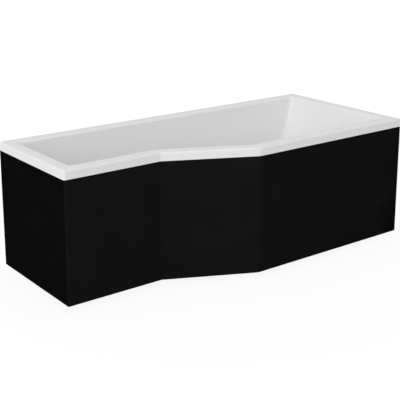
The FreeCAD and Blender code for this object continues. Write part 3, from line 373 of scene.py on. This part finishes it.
def chipboard():
    """Raw board of pressed chips, some large and flat, with fine dust between them."""
    material, nodes, shader = surface("chipboard", level=0.3)
    large = nodes.flakes(size=(0.009, 0.005, 0.004), turn=20)
    small = nodes.noise(size=0.0016)
    chips = nodes.tones(large, CHIP_TONES, span=FLAKE_RANGE)
    dust = nodes.tones(small, CHIP_TONES)
    cover = nodes.between(nodes.noise(size=0.006), low=0.15, high=0.75)
    roughness = nodes.between(small, low=0.70, high=0.90)
    dress(nodes, shader, nodes.over(cover, chips, dust), roughness, nodes.bump(large, depth=0.25))
    return material


WOOD_TONES = ((0.40, 0.24, 0.105), (0.52, 0.34, 0.17), (0.60, 0.42, 0.23), (0.67, 0.50, 0.30))


def timber(name, turn):
    """Planed softwood, with its grain along the batten."""
    material, nodes, shader = surface(name, level=0.35)
    grain = nodes.noise(size=(0.18, 0.0045, 0.0045), turn=turn, detail=3.0)
    fibre = nodes.noise(size=(0.03, 0.0006, 0.0006), turn=turn)
    colour = nodes.over(nodes.between(fibre, low=0.0, high=0.45), nodes.tones(grain, WOOD_TONES),
                        nodes.tones(fibre, WOOD_TONES))
    roughness = nodes.between(grain, low=0.52, high=0.72)
    dress(nodes, shader, colour, roughness, nodes.bump(fibre, depth=0.12))
    return material


ZINC_TONES = ((0.46, 0.48, 0.50), (0.58, 0.60, 0.62), (0.66, 0.67, 0.67))


def zinc_steel(name, spangle):
    """Zinc-plated steel, with crystals that each catch the light, and fine rolling scratches."""
    material, nodes, shader = surface(name, metallic=1.0)
    crystals = nodes.flakes(size=spangle)
    scratches = nodes.noise(size=(0.02, 0.0005, 0.0005), turn=12, detail=3.0)
    colour = nodes.tones(crystals, ZINC_TONES, span=FLAKE_RANGE)
    roughness = nodes.between(crystals, low=0.26, high=0.44, span=FLAKE_RANGE)
    dress(nodes, shader, colour, roughness, nodes.bump(scratches, depth=0.012))
    return material


CHROME_TONES = ((0.74, 0.75, 0.77), (0.80, 0.81, 0.82))


def chrome():
    """Polished plate with faint wiping marks."""
    material, nodes, shader = surface("chrome", metallic=1.0)
    colour = nodes.tones(nodes.noise(size=0.03), CHROME_TONES)
    wipes = nodes.noise(size=(0.012, 0.003, 0.012), turn=30, detail=4.0)
    roughness = nodes.between(wipes, low=0.05, high=0.12)
    dress(nodes, shader, colour, roughness, nodes.bump(nodes.noise(size=0.004), depth=0.004))
    return material


BRASS_TONES = ((0.55, 0.36, 0.13), (0.68, 0.49, 0.21))


def brass():
    """Turned brass, with the tool's rings and a little tarnish."""
    material, nodes, shader = surface("brass", metallic=1.0)
    rings = nodes.bands(size=0.0035, wander=0.2)
    colour = nodes.tones(nodes.noise(size=0.008, detail=4.0), BRASS_TONES)
    roughness = nodes.between(nodes.noise(size=0.005, detail=3.0), low=0.22, high=0.38)
    dress(nodes, shader, colour, roughness, nodes.bump(rings, depth=0.02))
    return material


def moulded(name, colours, smooth, rough, grain, depth):
    """Moulded plastic or rubber: soft changes of shade, and a fine grain from its mould."""
    material, nodes, shader = surface(name, level=0.4)
    shade = nodes.noise(size=0.04, detail=4.0)
    texture = nodes.noise(size=grain)
    roughness = nodes.between(nodes.noise(size=0.015, detail=4.0), low=smooth, high=rough)
    dress(nodes, shader, nodes.tones(shade, colours), roughness, nodes.bump(texture, depth=depth))
    return material


RUBBER_TONES = ((0.016, 0.016, 0.016), (0.030, 0.030, 0.029))
WHITE_TONES = ((0.70, 0.70, 0.675), (0.78, 0.78, 0.765))
BLACK_TONES = ((0.012, 0.012, 0.013), (0.024, 0.024, 0.026))
HOSE_TONES = ((0.46, 0.47, 0.47), (0.57, 0.58, 0.57))
JACKET_TONES = ((0.014, 0.014, 0.015), (0.028, 0.028, 0.030))

# Each material slot of the record and its finish
FINISH = {
    "acrylic": acrylic(),
    "panel_black": panel_black(),
    "glass_fibre": glass_fibre(),
    "chipboard": chipboard(),
    "timber": timber("timber", turn=0),
    "zinc_steel": zinc_steel("zinc_steel", spangle=0.012),
    "chrome": chrome(),
    "brass": brass(),
}
# Moulded slots: tones, least and most roughness, and the grain's size in metres and depth in millimetres
MOULDED = {
    "seal_rubber": (RUBBER_TONES, 0.58, 0.76, 0.0012, 0.03),
    "white_plastic": (WHITE_TONES, 0.32, 0.46, 0.0008, 0.015),
    "black_plastic": (BLACK_TONES, 0.38, 0.55, 0.0008, 0.03),
    "hose_plastic": (HOSE_TONES, 0.38, 0.54, 0.0010, 0.02),
    "cable_jacket": (JACKET_TONES, 0.40, 0.56, 0.0007, 0.04),
}
for slot_name, values in MOULDED.items():
    FINISH[slot_name] = moulded(slot_name, *values)
FASTENER_ZINC = zinc_steel("fastener_zinc", spangle=0.003)
# Battens whose grain doesn't run along the bath, and its turn in degrees
GRAIN_TURNS = {"foot_end_batten": 90, "head_end_batten": 90, "flare_batten": -26}


def dress_nodes():
    """Every CAD node gets its slot's finish."""
    for row in frame["record"]["subparts"]:
        name = row["node"]
        finish = FINISH[row["material_slot"]]
        if name in GRAIN_TURNS:
            finish = timber(f"timber_{name}", turn=GRAIN_TURNS[name])
        NODES[name].data.materials.clear()
        NODES[name].data.materials.append(finish)


# Folded and sawn nodes whose edges are eased, with the ease in millimetres
EASED = {
    "foot_end_rail": 0.8,
    "head_end_rail": 0.8,
    "panel_clips": 0.4,
    "panel_stays": 0.5,
    "wall_brackets": 0.5,
    "corner_strip": 0.5,
    "base_board": 0.8,
    "back_batten": 1.2,
    "foot_end_batten": 1.2,
    "narrow_front_batten": 1.2,
    "flare_batten": 1.2,
    "wide_front_batten": 1.2,
    "head_end_batten": 1.2,
}
EASE_STEPS = 2
# Edges bent by more than this are eased, and faces bent by less are joined, in degrees
EASE_ANGLE = 40
FLAT_ANGLE = 0.5
# Points nearer than this are one point, in millimetres
WELD_REACH = 0.01


def ease_edges():
    """Modifiers on the CAD nodes, so that their edges catch the light; the meshes stay as they are."""
    for name, width in EASED.items():
        weld = NODES[name].modifiers.new("weld", "WELD")
        weld.merge_threshold = WELD_REACH * MM
        flat = NODES[name].modifiers.new("flat", "DECIMATE")
        flat.decimate_type = "DISSOLVE"
        flat.angle_limit = math.radians(FLAT_ANGLE)
        bevel = NODES[name].modifiers.new("ease", "BEVEL")
        bevel.width = width * MM
        bevel.segments = EASE_STEPS
        bevel.limit_method = "ANGLE"
        bevel.angle_limit = math.radians(EASE_ANGLE)
        bevel.loop_slide = False
        bevel.harden_normals = True


# Tools for the detailed pieces

# Edges bent by more degrees than this look sharp
SHARP_ANGLE = 32
# Faces round a turned form, a small one and a screw's head
ROUND_STEPS = 96
SMALL_STEPS = 32
HEAD_STEPS = 48
# Faces round one rib or lobe of a ribbed form
RIB_STEPS = 8


def add_piece(name, form, slot, body, replaced=(), finish=None):
    """Makes a piece of a form, rides it on a body and hides the CAD nodes that it stands for."""
    bmesh.ops.remove_doubles(form, verts=form.verts, dist=WELD_REACH * MM)
    bmesh.ops.recalc_face_normals(form, faces=form.faces)
    mesh = bpy.data.meshes.new(name)
    form.to_mesh(mesh)
    form.free()
    mesh.polygons.foreach_set("use_smooth", [True] * len(mesh.polygons))
    mesh.set_sharp_from_angle(angle=math.radians(SHARP_ANGLE))
    mesh.materials.append(finish or FINISH[slot])
    piece = bpy.data.objects.new(name, mesh)
    SCENE.collection.objects.link(piece)
    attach(piece, body)
    if replaced:
        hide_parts(*replaced)


def solids(node):
    """The points of each separate solid in a CAD node."""
    form = bmesh.new()
    form.from_mesh(NODES[node].data)
    bmesh.ops.remove_doubles(form, verts=form.verts, dist=WELD_REACH * MM)
    found, waiting = [], set(form.verts)
    while waiting:
        reached = [waiting.pop()]
        points = []
        while reached:
            vertex = reached.pop()
            points.append(vertex.co.copy())
            near = {edge.other_vert(vertex) for edge in vertex.link_edges} & waiting
            waiting -= near
            reached += near
        found.append(points)
    form.free()
    return sorted(found, key=lambda points: tuple(round(n, 5) for n in min(points, key=tuple)))


class Turned:
    """A turned solid's place, length, radius and bore in metres, measured from its points."""

    def __init__(self, points, axis=UP):
        turn = UP.rotation_difference(Vector(axis).normalized()).to_matrix()
        local = [turn.transposed() @ point for point in points]
        middle = [(min(p[k] for p in local) + max(p[k] for p in local)) / 2 for k in (0, 1)]
        low = min(p.z for p in local)
        radii = [math.hypot(p.x - middle[0], p.y - middle[1]) for p in local]
        self.length = max(p.z for p in local) - low
        self.radius = max(radii)
        self.bore = min(radii)
        self.place = turn.to_4x4() @ Matrix.Translation((*middle, low))


def lathe(form, rings, place, closed=True, count=ROUND_STEPS):
    """Adds a turned form: each ring is a radius and a height, or a function of the turn that gives both."""
    loops = []
    for ring in rings:
        loop = []
        for step in range(count):
            turn = math.tau * step / count
            radius, height = ring(turn) if callable(ring) else ring
            point = Vector((radius * math.cos(turn), radius * math.sin(turn), height))
            loop.append(form.verts.new(place @ point))
        loops.append(loop)
    following = loops[1:] + loops[:1] if closed else loops[1:]
    for lower, upper in zip(loops, following):
        for step in range(count):
            after = (step + 1) % count
            form.faces.new((lower[step], lower[after], upper[after], upper[step]))
    if not closed:
        form.faces.new(loops[0][::-1])
        form.faces.new(loops[-1])


def lobed(radius, height, groove, lobes):
    """A ring with even grooves between its lobes."""
    return lambda turn: (radius - groove * (1 - math.cos(lobes * turn)) / 2, height)


# The turn that one side of a hexagon takes up, and how fast a nut's chamfer falls
HEXAGON_SIDE = math.pi / 3
NUT_SLOPE = math.tan(math.radians(30))


def hexed(flats, face, height, chamfer):
    """A hexagon's ring, whose corners bend away from the nut's face; chamfer is 1 at a foot, -1 at a top."""

    def ring(turn):
        reach = flats / 2 / math.cos(turn % HEXAGON_SIDE - HEXAGON_SIDE / 2)
        return reach, height + chamfer * max(reach - face, 0) * NUT_SLOPE

    return ring


# A thread's outline over one pitch: the share of its depth and of its pitch
THREAD_OUTLINE = ((1.0, 0.0), (1.0, 0.14), (0.0, 0.46), (0.0, 0.60))
THREAD_STEPS = 20
# Turns that are wound past the low and the high end and cut off there
THREAD_LEAD = 2
THREAD_TAIL = 1


def thread(form, radius, depth, pitch, low, high, place, steps=THREAD_STEPS):
    """Adds a screw thread between two heights, eased at its high end and closed at both."""
    winding = bmesh.new()
    core = radius - depth
    turns = math.ceil((high - low) / pitch) + THREAD_LEAD + THREAD_TAIL
    rows = []
    for step in range(turns * steps):
        turn = math.tau * step / steps
        start = low + pitch * (step / steps - THREAD_LEAD)
        row = []
        for share, along in THREAD_OUTLINE:
            height = start + along * pitch
            reach = min(radius - depth * share, core + max(high - height, 0))
            row.append(winding.verts.new((reach * math.cos(turn), reach * math.sin(turn), height)))
        rows.append(row)
    for step, (here, there) in enumerate(zip(rows, rows[1:])):
        for k in range(len(THREAD_OUTLINE) - 1):
            winding.faces.new((here[k], there[k], there[k + 1], here[k + 1]))
        if step + steps + 1 < len(rows):
            above, beyond = rows[step + steps], rows[step + steps + 1]
            winding.faces.new((here[-1], there[-1], beyond[0], above[0]))
    for height, side in ((low, -1), (high, 1)):
        everything = winding.verts[:] + winding.edges[:] + winding.faces[:]
        bmesh.ops.bisect_plane(winding, geom=everything, plane_co=(0, 0, height), plane_no=(0, 0, side),
                               clear_outer=True)
    bmesh.ops.edgeloop_fill(winding, edges=[edge for edge in winding.edges if edge.is_boundary])
    winding.transform(place)
    spare = bpy.data.meshes.new("winding")
    winding.to_mesh(spare)
    winding.free()
    form.from_mesh(spare)
    bpy.data.meshes.remove(spare)


# Levelling feet

FEET = ("foot_end_front", "foot_end_back", "head_end_front", "head_end_back")
ROD_PITCH = 1.75 * MM
ROD_DEPTH = 0.95 * MM
ROD_CLEARANCE = 0.1 * MM
PAD_RIBS = 12
PAD_GROOVE = 3.0 * MM
# The inner radius of each groove under a pad, and the groove's width and depth
PAD_TREADS = (7 * MM, 13 * MM, 19 * MM)
PAD_TREAD = 2.5 * MM
PAD_TREAD_DEPTH = 1.0 * MM
PAD_EDGE = 0.8 * MM
PAD_BASE = 6 * MM
PAD_NECK = 12 * MM
PAD_CHAMFER = 2 * MM
PAD_TIP = 2 * MM
# Where the ribbed shoulder has its rings, as shares of its height
PAD_CONE_SHARES = (0.12, 0.35, 0.62, 0.86)


def make_rod(name):
    """A threaded rod."""
    size = Turned(solids(f"{name}_rod")[0])
    form = bmesh.new()
    thread(form, size.radius, ROD_DEPTH, ROD_PITCH, 0, size.length, size.place)
    replaced = [f"{name}_rod"]
    add_piece(f"{name}_threaded_rod", form, "zinc_steel", f"{name}_foot", replaced, FASTENER_ZINC)


def make_pad(name):
    """A foot pad with a ribbed shoulder, a plain neck and treads under it."""
    size = Turned(solids(f"{name}_pad")[0])
    socket = Turned(solids(f"{name}_rod")[0]).radius + ROD_CLEARANCE
    waist = (PAD_BASE + size.length) / 2
    rings = [(PAD_TIP, 0)]
    for tread in PAD_TREADS:
        far = tread + PAD_TREAD
        rings += [(tread, 0), (tread, PAD_TREAD_DEPTH), (far, PAD_TREAD_DEPTH), (far, 0)]
    rings += [(size.radius - PAD_CHAMFER, 0), (size.radius, PAD_CHAMFER), (size.radius, PAD_BASE)]
    for share in PAD_CONE_SHARES:
        groove = PAD_GROOVE * math.sin(math.pi * share)
        radius = size.radius + (PAD_NECK - size.radius) * share
        rings.append(lobed(radius, PAD_BASE + (waist - PAD_BASE) * share, groove, PAD_RIBS))
    rings += [(PAD_NECK, waist), (PAD_NECK, size.length - PAD_EDGE), (PAD_NECK - PAD_EDGE, size.length),
              (socket, size.length), (socket, PAD_BASE), (PAD_TIP, PAD_BASE)]
    form = bmesh.new()
    lathe(form, rings, size.place, closed=False)
    add_piece(f"{name}_ribbed_pad", form, "black_plastic", f"{name}_foot", [f"{name}_pad"])


# The radius of a nut's round face, as a share of half its width across the flats
NUT_FACE = 0.93


def hex_nut(form, size, flats, length, bore):
    """Adds a chamfered hexagon, with a hole through it where it has a bore."""
    face = NUT_FACE * flats / 2
    rings = [(face, 0), hexed(flats, face, 0, 1), hexed(flats, face, length, -1), (face, length)]
    if bore:
        rings += [(bore, length), (bore, 0)]
    lathe(form, rings, size.place, closed=bool(bore))


def make_leg_nuts():
    """The nuts that clamp each rod to its rail."""
    form = bmesh.new()
    for points in solids("leg_nuts"):
        size = Turned(points)
        flats = 2 * size.radius * math.cos(HEXAGON_SIDE / 2)
        hex_nut(form, size, flats, size.length, size.bore)
    add_piece("chamfered_leg_nuts", form, "zinc_steel", "bath", ["leg_nuts"], FASTENER_ZINC)


# Screws and bolts

OVERFLOW_AXIS = Vector(next(j["axis"] for j in frame["joints"] if j["name"] == "knob_turn"))
# Node, the way its screws point, head height, shank radius and thread pitch in millimetres
SCREWS = (
    ("panel_clip_screws", UP, 2.5, 2.0, 1.4),
    ("rail_screws", UP, 3.0, 2.5, 1.6),
    ("overflow_screws", -OVERFLOW_AXIS, 2.5, 2.5, 0.8),
)
# The socket: its lobes, radius and groove as shares of the head's radius, and depth as one of its height
LOBES = 6
SOCKET_RADIUS = 0.42
SOCKET_GROOVE = 0.10
SOCKET_DEPTH = 0.55
# A domed head from its rim to its top: shares of its radius and of its height
HEAD_OUTLINE = ((1.0, 1.0), (1.0, 0.55), (0.93, 0.24), (0.78, 0.06), (0.62, 0.0))
# A screw thread's depth, as a share of its radius, and its faces in one turn
THREAD_SHARE = 0.28
SCREW_THREAD_STEPS = 16


def screw_head(form, size, height):
    """Adds a domed head, with a six-lobed socket in its top; the head's top is at the solid's low end."""
    radius = size.radius
    rings = [(radius * share, height * level) for share, level in HEAD_OUTLINE]
    groove = radius * SOCKET_GROOVE
    rings += [lobed(radius * SOCKET_RADIUS, level * height, groove, LOBES) for level in (0.0, SOCKET_DEPTH)]
    rings.append((radius * SOCKET_GROOVE, SOCKET_DEPTH * height))
    lathe(form, rings, size.place, closed=False, count=HEAD_STEPS)


def make_screws():
    """Domed screws with threaded shanks, for every node of screws."""
    for node, axis, head, shank, pitch in SCREWS:
        form = bmesh.new()
        for points in solids(node):
            size = Turned(points, axis)
            screw_head(form, size, head * MM)
            radius, low = shank * MM, SOCKET_DEPTH * head * MM
            thread(form, radius, radius * THREAD_SHARE, pitch * MM, low, size.length, size.place,
                   SCREW_THREAD_STEPS)
        add_piece(f"socket_{node}", form, "zinc_steel", "bath", [node], FASTENER_ZINC)


BOLT_AXIS = -ALONG
BOLT_HEAD = 4 * MM
BOLT_COLLAR = 1 * MM
# How far the collar reaches into the head, and the shank into the collar
BOLT_LAP = 0.5 * MM
BOLT_RADIUS = 3 * MM
BOLT_PITCH = 1.0 * MM
BOLT_DEPTH = 0.42 * MM
# A head's width across its flats, as a share of the collar's radius
BOLT_FLATS = 1.62


def make_stay_bolts():
    """Hexagon bolts with a round collar under the head."""
    form = bmesh.new()
    for points in solids("stay_bolts"):
        size = Turned(points, BOLT_AXIS)
        hex_nut(form, size, BOLT_FLATS * size.radius, BOLT_HEAD - BOLT_COLLAR, 0)
        collar = [(size.radius, BOLT_HEAD - BOLT_COLLAR - BOLT_LAP), (size.radius, BOLT_HEAD)]
        lathe(form, collar, size.place, closed=False)
        thread(form, BOLT_RADIUS, BOLT_DEPTH, BOLT_PITCH, BOLT_HEAD - BOLT_LAP, size.length, size.place)
    add_piece("collared_stay_bolts", form, "zinc_steel", "bath", ["stay_bolts"], FASTENER_ZINC)


# Plastic nuts and the trap's cap, with ribs for the hand

# The chamfer of a nut's ends, which is also how fast its ribs begin, and the plain length of each end
GRIP_EDGE = 1.2 * MM
GRIP_PLAIN = 3.0 * MM


def grip_nut(form, size, ribs, groove):
    """Adds a ring nut with ribs between two plain ends."""
    length, radius = size.length, size.radius
    ribbed = GRIP_PLAIN + GRIP_EDGE
    rings = [(size.bore, 0), (radius - GRIP_EDGE, 0), (radius, GRIP_EDGE), (radius, GRIP_PLAIN)]
    rings += [lobed(radius, ribbed, groove, ribs), lobed(radius, length - ribbed, groove, ribs)]
    rings += [(radius, length - GRIP_PLAIN), (radius, length - GRIP_EDGE), (radius - GRIP_EDGE, length),
              (size.bore, length)]
    lathe(form, rings, size.place, count=ribs * RIB_STEPS)


# Nodes of ring nuts: the slot, the axis of each solid, and the ribs and their depth in millimetres
GRIP_NUTS = (
    ("trap_nut", "white_plastic", (UP,), 24, 1.4),
    ("outlet_nut", "white_plastic", (ACROSS,), 24, 1.4),
    ("hose_nuts", "black_plastic", (UP, UP, ALONG), 20, 1.2),
)


def make_grip_nuts():
    """The ribbed nuts of the trap, its outlet and the overflow hose."""
    for node, slot, axes, ribs, groove in GRIP_NUTS:
        form = bmesh.new()
        for points, axis in zip(solids(node), axes):
            grip_nut(form, Turned(points, axis), ribs, groove * MM)
        add_piece(f"ribbed_{node}", form, slot, "bath", [node])


CAP_RIBS = 30
CAP_GROOVE = 1.3 * MM
CAP_HEIGHT = 6 * MM
CAP_EDGE = 0.9 * MM
CAP_DISH = 2.0 * MM
# The dish's radius and the bar's half length and half width, as shares of the cap's radius
CAP_DISH_SHARE = 0.72
CAP_BAR_REACH = 0.62
CAP_BAR_HALF = 0.055
CAP_BAR_HEIGHT = 3.0 * MM
CAP_SPIGOT_WALL = 3 * MM
CAP_SPIGOT_RADIUS = 35.4 * MM


def make_trap_cap():
    """The clean-out cap: ribbed round its edge and dished, with a bar across the dish to turn it by."""
    size = Turned(solids("trap_cap")[0])
    radius, dish = size.radius, size.radius * CAP_DISH_SHARE
    inner = CAP_SPIGOT_RADIUS - CAP_SPIGOT_WALL
    rings = [(CAP_EDGE, CAP_DISH), (dish - CAP_DISH, CAP_DISH), (dish, 0), (radius - CAP_EDGE, 0)]
    for height in (CAP_EDGE, CAP_HEIGHT - CAP_EDGE):
        rings.append(lobed(radius, height, CAP_GROOVE, CAP_RIBS))
    rings += [(radius - CAP_EDGE - CAP_GROOVE, CAP_HEIGHT), (CAP_SPIGOT_RADIUS, CAP_HEIGHT),
              (CAP_SPIGOT_RADIUS, size.length), (inner, size.length), (inner, CAP_HEIGHT),
              (CAP_EDGE, CAP_HEIGHT)]
    form = bmesh.new()
    lathe(form, rings, size.place, closed=False, count=CAP_RIBS * RIB_STEPS)
    middle = Matrix.Translation((0, 0, CAP_BAR_HEIGHT / 2))
    extent = Matrix.Diagonal((2 * radius * CAP_BAR_REACH, 2 * radius * CAP_BAR_HALF, CAP_BAR_HEIGHT, 1))
    bar = bmesh.ops.create_cube(form, size=1, matrix=size.place @ middle @ extent)
    edges = {edge for vertex in bar["verts"] for edge in vertex.link_edges}
    bmesh.ops.bevel(form, geom=list(edges), offset=CAP_EDGE / 2, segments=EASE_STEPS, affect="EDGES")
    add_piece("ribbed_trap_cap", form, "white_plastic", "bath", ["trap_cap"])


# Overflow hose and control cable

HOSE_RIBS = 31
HOSE_CUFF = 34 * MM
HOSE_WALL = 2.2 * MM
# Rings along one rib, and faces round the hose
HOSE_RIB_STEPS = 8
HOSE_STEPS = 64
HOSE_BEAD = 0.7 * MM
# The bead on a cuff: shares of its height, and places in millimetres before the ribs
HOSE_BEAD_OUTLINE = ((0, 10), (1, 9), (1, 7), (0, 6))


def make_hose():
    """The overflow hose, with round ribs between two plain cuffs, and a bead on each cuff."""
    size = Turned(solids("overflow_hose")[0])
    root = size.bore + HOSE_WALL
    rise = size.radius - root
    pitch = (size.length - 2 * HOSE_CUFF) / HOSE_RIBS
    bead = [(root + HOSE_BEAD * share, HOSE_CUFF - drop * MM) for share, drop in HOSE_BEAD_OUTLINE]
    rings = [(size.bore, 0), (root, 0)] + bead
    for step in range(HOSE_RIBS * HOSE_RIB_STEPS + 1):
        turns = step / HOSE_RIB_STEPS
        swell = math.sin(math.pi * turns) ** 2
        rings.append((root + rise * math.sqrt(swell) * (1 + swell) / 2, HOSE_CUFF + pitch * turns))
    rings += [(radius, size.length - height) for radius, height in bead[::-1]]
    rings += [(root, size.length), (size.bore, size.length)]
    form = bmesh.new()
    lathe(form, rings, size.place, count=HOSE_STEPS)
    add_piece("ribbed_overflow_hose", form, "hose_plastic", "bath", ["overflow_hose"])


CABLE_RADIUS = 2.5 * MM
CABLE_BEND = 60 * MM
# A quarter circle's handles, as a share of the way to its corner
ARC_HANDLE = 4 / 3 * (math.sqrt(2) - 1)
CRIMP_LENGTH = 16 * MM
CRIMP_RADIUS = 3.6 * MM
CRIMP_BORE = 2.3 * MM
CRIMP_GROOVES = 3
CRIMP_DEPTH = 0.5 * MM
# The share of a groove's width that each of its slopes takes up
CRIMP_SLOPE = 0.25


def make_cable():
    """The control cable, held at both ends, from the overflow's housing down and across to the waste."""
    low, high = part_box("control_cable")
    across = (low.y + high.y) / 2
    corner = Vector((low.x + CABLE_RADIUS, across, low.z + CABLE_RADIUS))
    top = Vector((corner.x, across, high.z))
    end = Vector((high.x, across, corner.z))
    start = corner + CABLE_BEND * UP
    stop = corner + CABLE_BEND * ALONG
    # Each point of the line, and the points that its handles reach for
    points = ((top, top, start), (start, top, corner), (stop, corner, end), (end, stop, end))
    curve = bpy.data.curves.new("control_cable_line", "CURVE")
    curve.dimensions = "3D"
    curve.bevel_depth = CABLE_RADIUS
    curve.use_fill_caps = True
    line = curve.splines.new("BEZIER")
    line.bezier_points.add(len(points) - 1)
    for spot, (place, before, after) in zip(line.bezier_points, points):
        spot.handle_left_type = spot.handle_right_type = "FREE"
        spot.co = place
        spot.handle_left = place.lerp(before, ARC_HANDLE)
        spot.handle_right = place.lerp(after, ARC_HANDLE)
    curve.materials.append(FINISH["cable_jacket"])
    cable = bpy.data.objects.new("control_cable_line", curve)
    SCENE.collection.objects.link(cable)
    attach(cable, "bath")
    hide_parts("control_cable")
    make_crimps((top, -UP), (end, -ALONG))


def make_crimps(*ends):
    """A grooved metal sleeve on each end of the cable."""
    form = bmesh.new()
    step = CRIMP_LENGTH / (2 * CRIMP_GROOVES + 1)
    slim = CRIMP_RADIUS - CRIMP_DEPTH
    rings = [(CRIMP_BORE, 0), (CRIMP_RADIUS, 0)]
    for groove in range(CRIMP_GROOVES):
        start = step * (2 * groove + 1)
        end = start + step
        rings += [(CRIMP_RADIUS, start), (slim, start + step * CRIMP_SLOPE), (slim, end - step * CRIMP_SLOPE),
                  (CRIMP_RADIUS, end)]
    rings += [(CRIMP_RADIUS, CRIMP_LENGTH), (CRIMP_BORE, CRIMP_LENGTH)]
    for spot, way in ends:
        place = Matrix.Translation(spot) @ UP.rotation_difference(way).to_matrix().to_4x4()
        lathe(form, rings, place, count=SMALL_STEPS)
    add_piece("control_cable_crimps", form, "zinc_steel", "bath", finish=FASTENER_ZINC)


# The knob's mark, which shows how far the plug is open

MARK_RADIUS = 2.0 * MM
MARK_RISE = 0.5 * MM
MARK_REACH = 19 * MM
# The radius of the mark's top, as a share of its own
MARK_TOP = 0.7


def make_knob_mark():
    """A round mark near the knob's edge, let into its face."""
    size = Turned(solids("overflow_knob")[0], OVERFLOW_AXIS)
    place = size.place @ Matrix.Translation((-MARK_REACH, 0, size.length))
    rings = [(MARK_RADIUS, -MARK_RISE), (MARK_RADIUS, MARK_RISE / 2), (MARK_RADIUS * MARK_TOP, MARK_RISE)]
    form = bmesh.new()
    lathe(form, rings, place, closed=False, count=SMALL_STEPS)
    add_piece("knob_mark", form, "black_plastic", "knob")


make_camera()
make_lights()
make_sky()
make_floor()
make_cable()
make_hose()
dress_nodes()
ease_edges()
for foot in FEET:
    make_rod(foot)
    make_pad(foot)
make_leg_nuts()
make_screws()
make_stay_bolts()
make_grip_nuts()
make_trap_cap()
make_knob_mark()
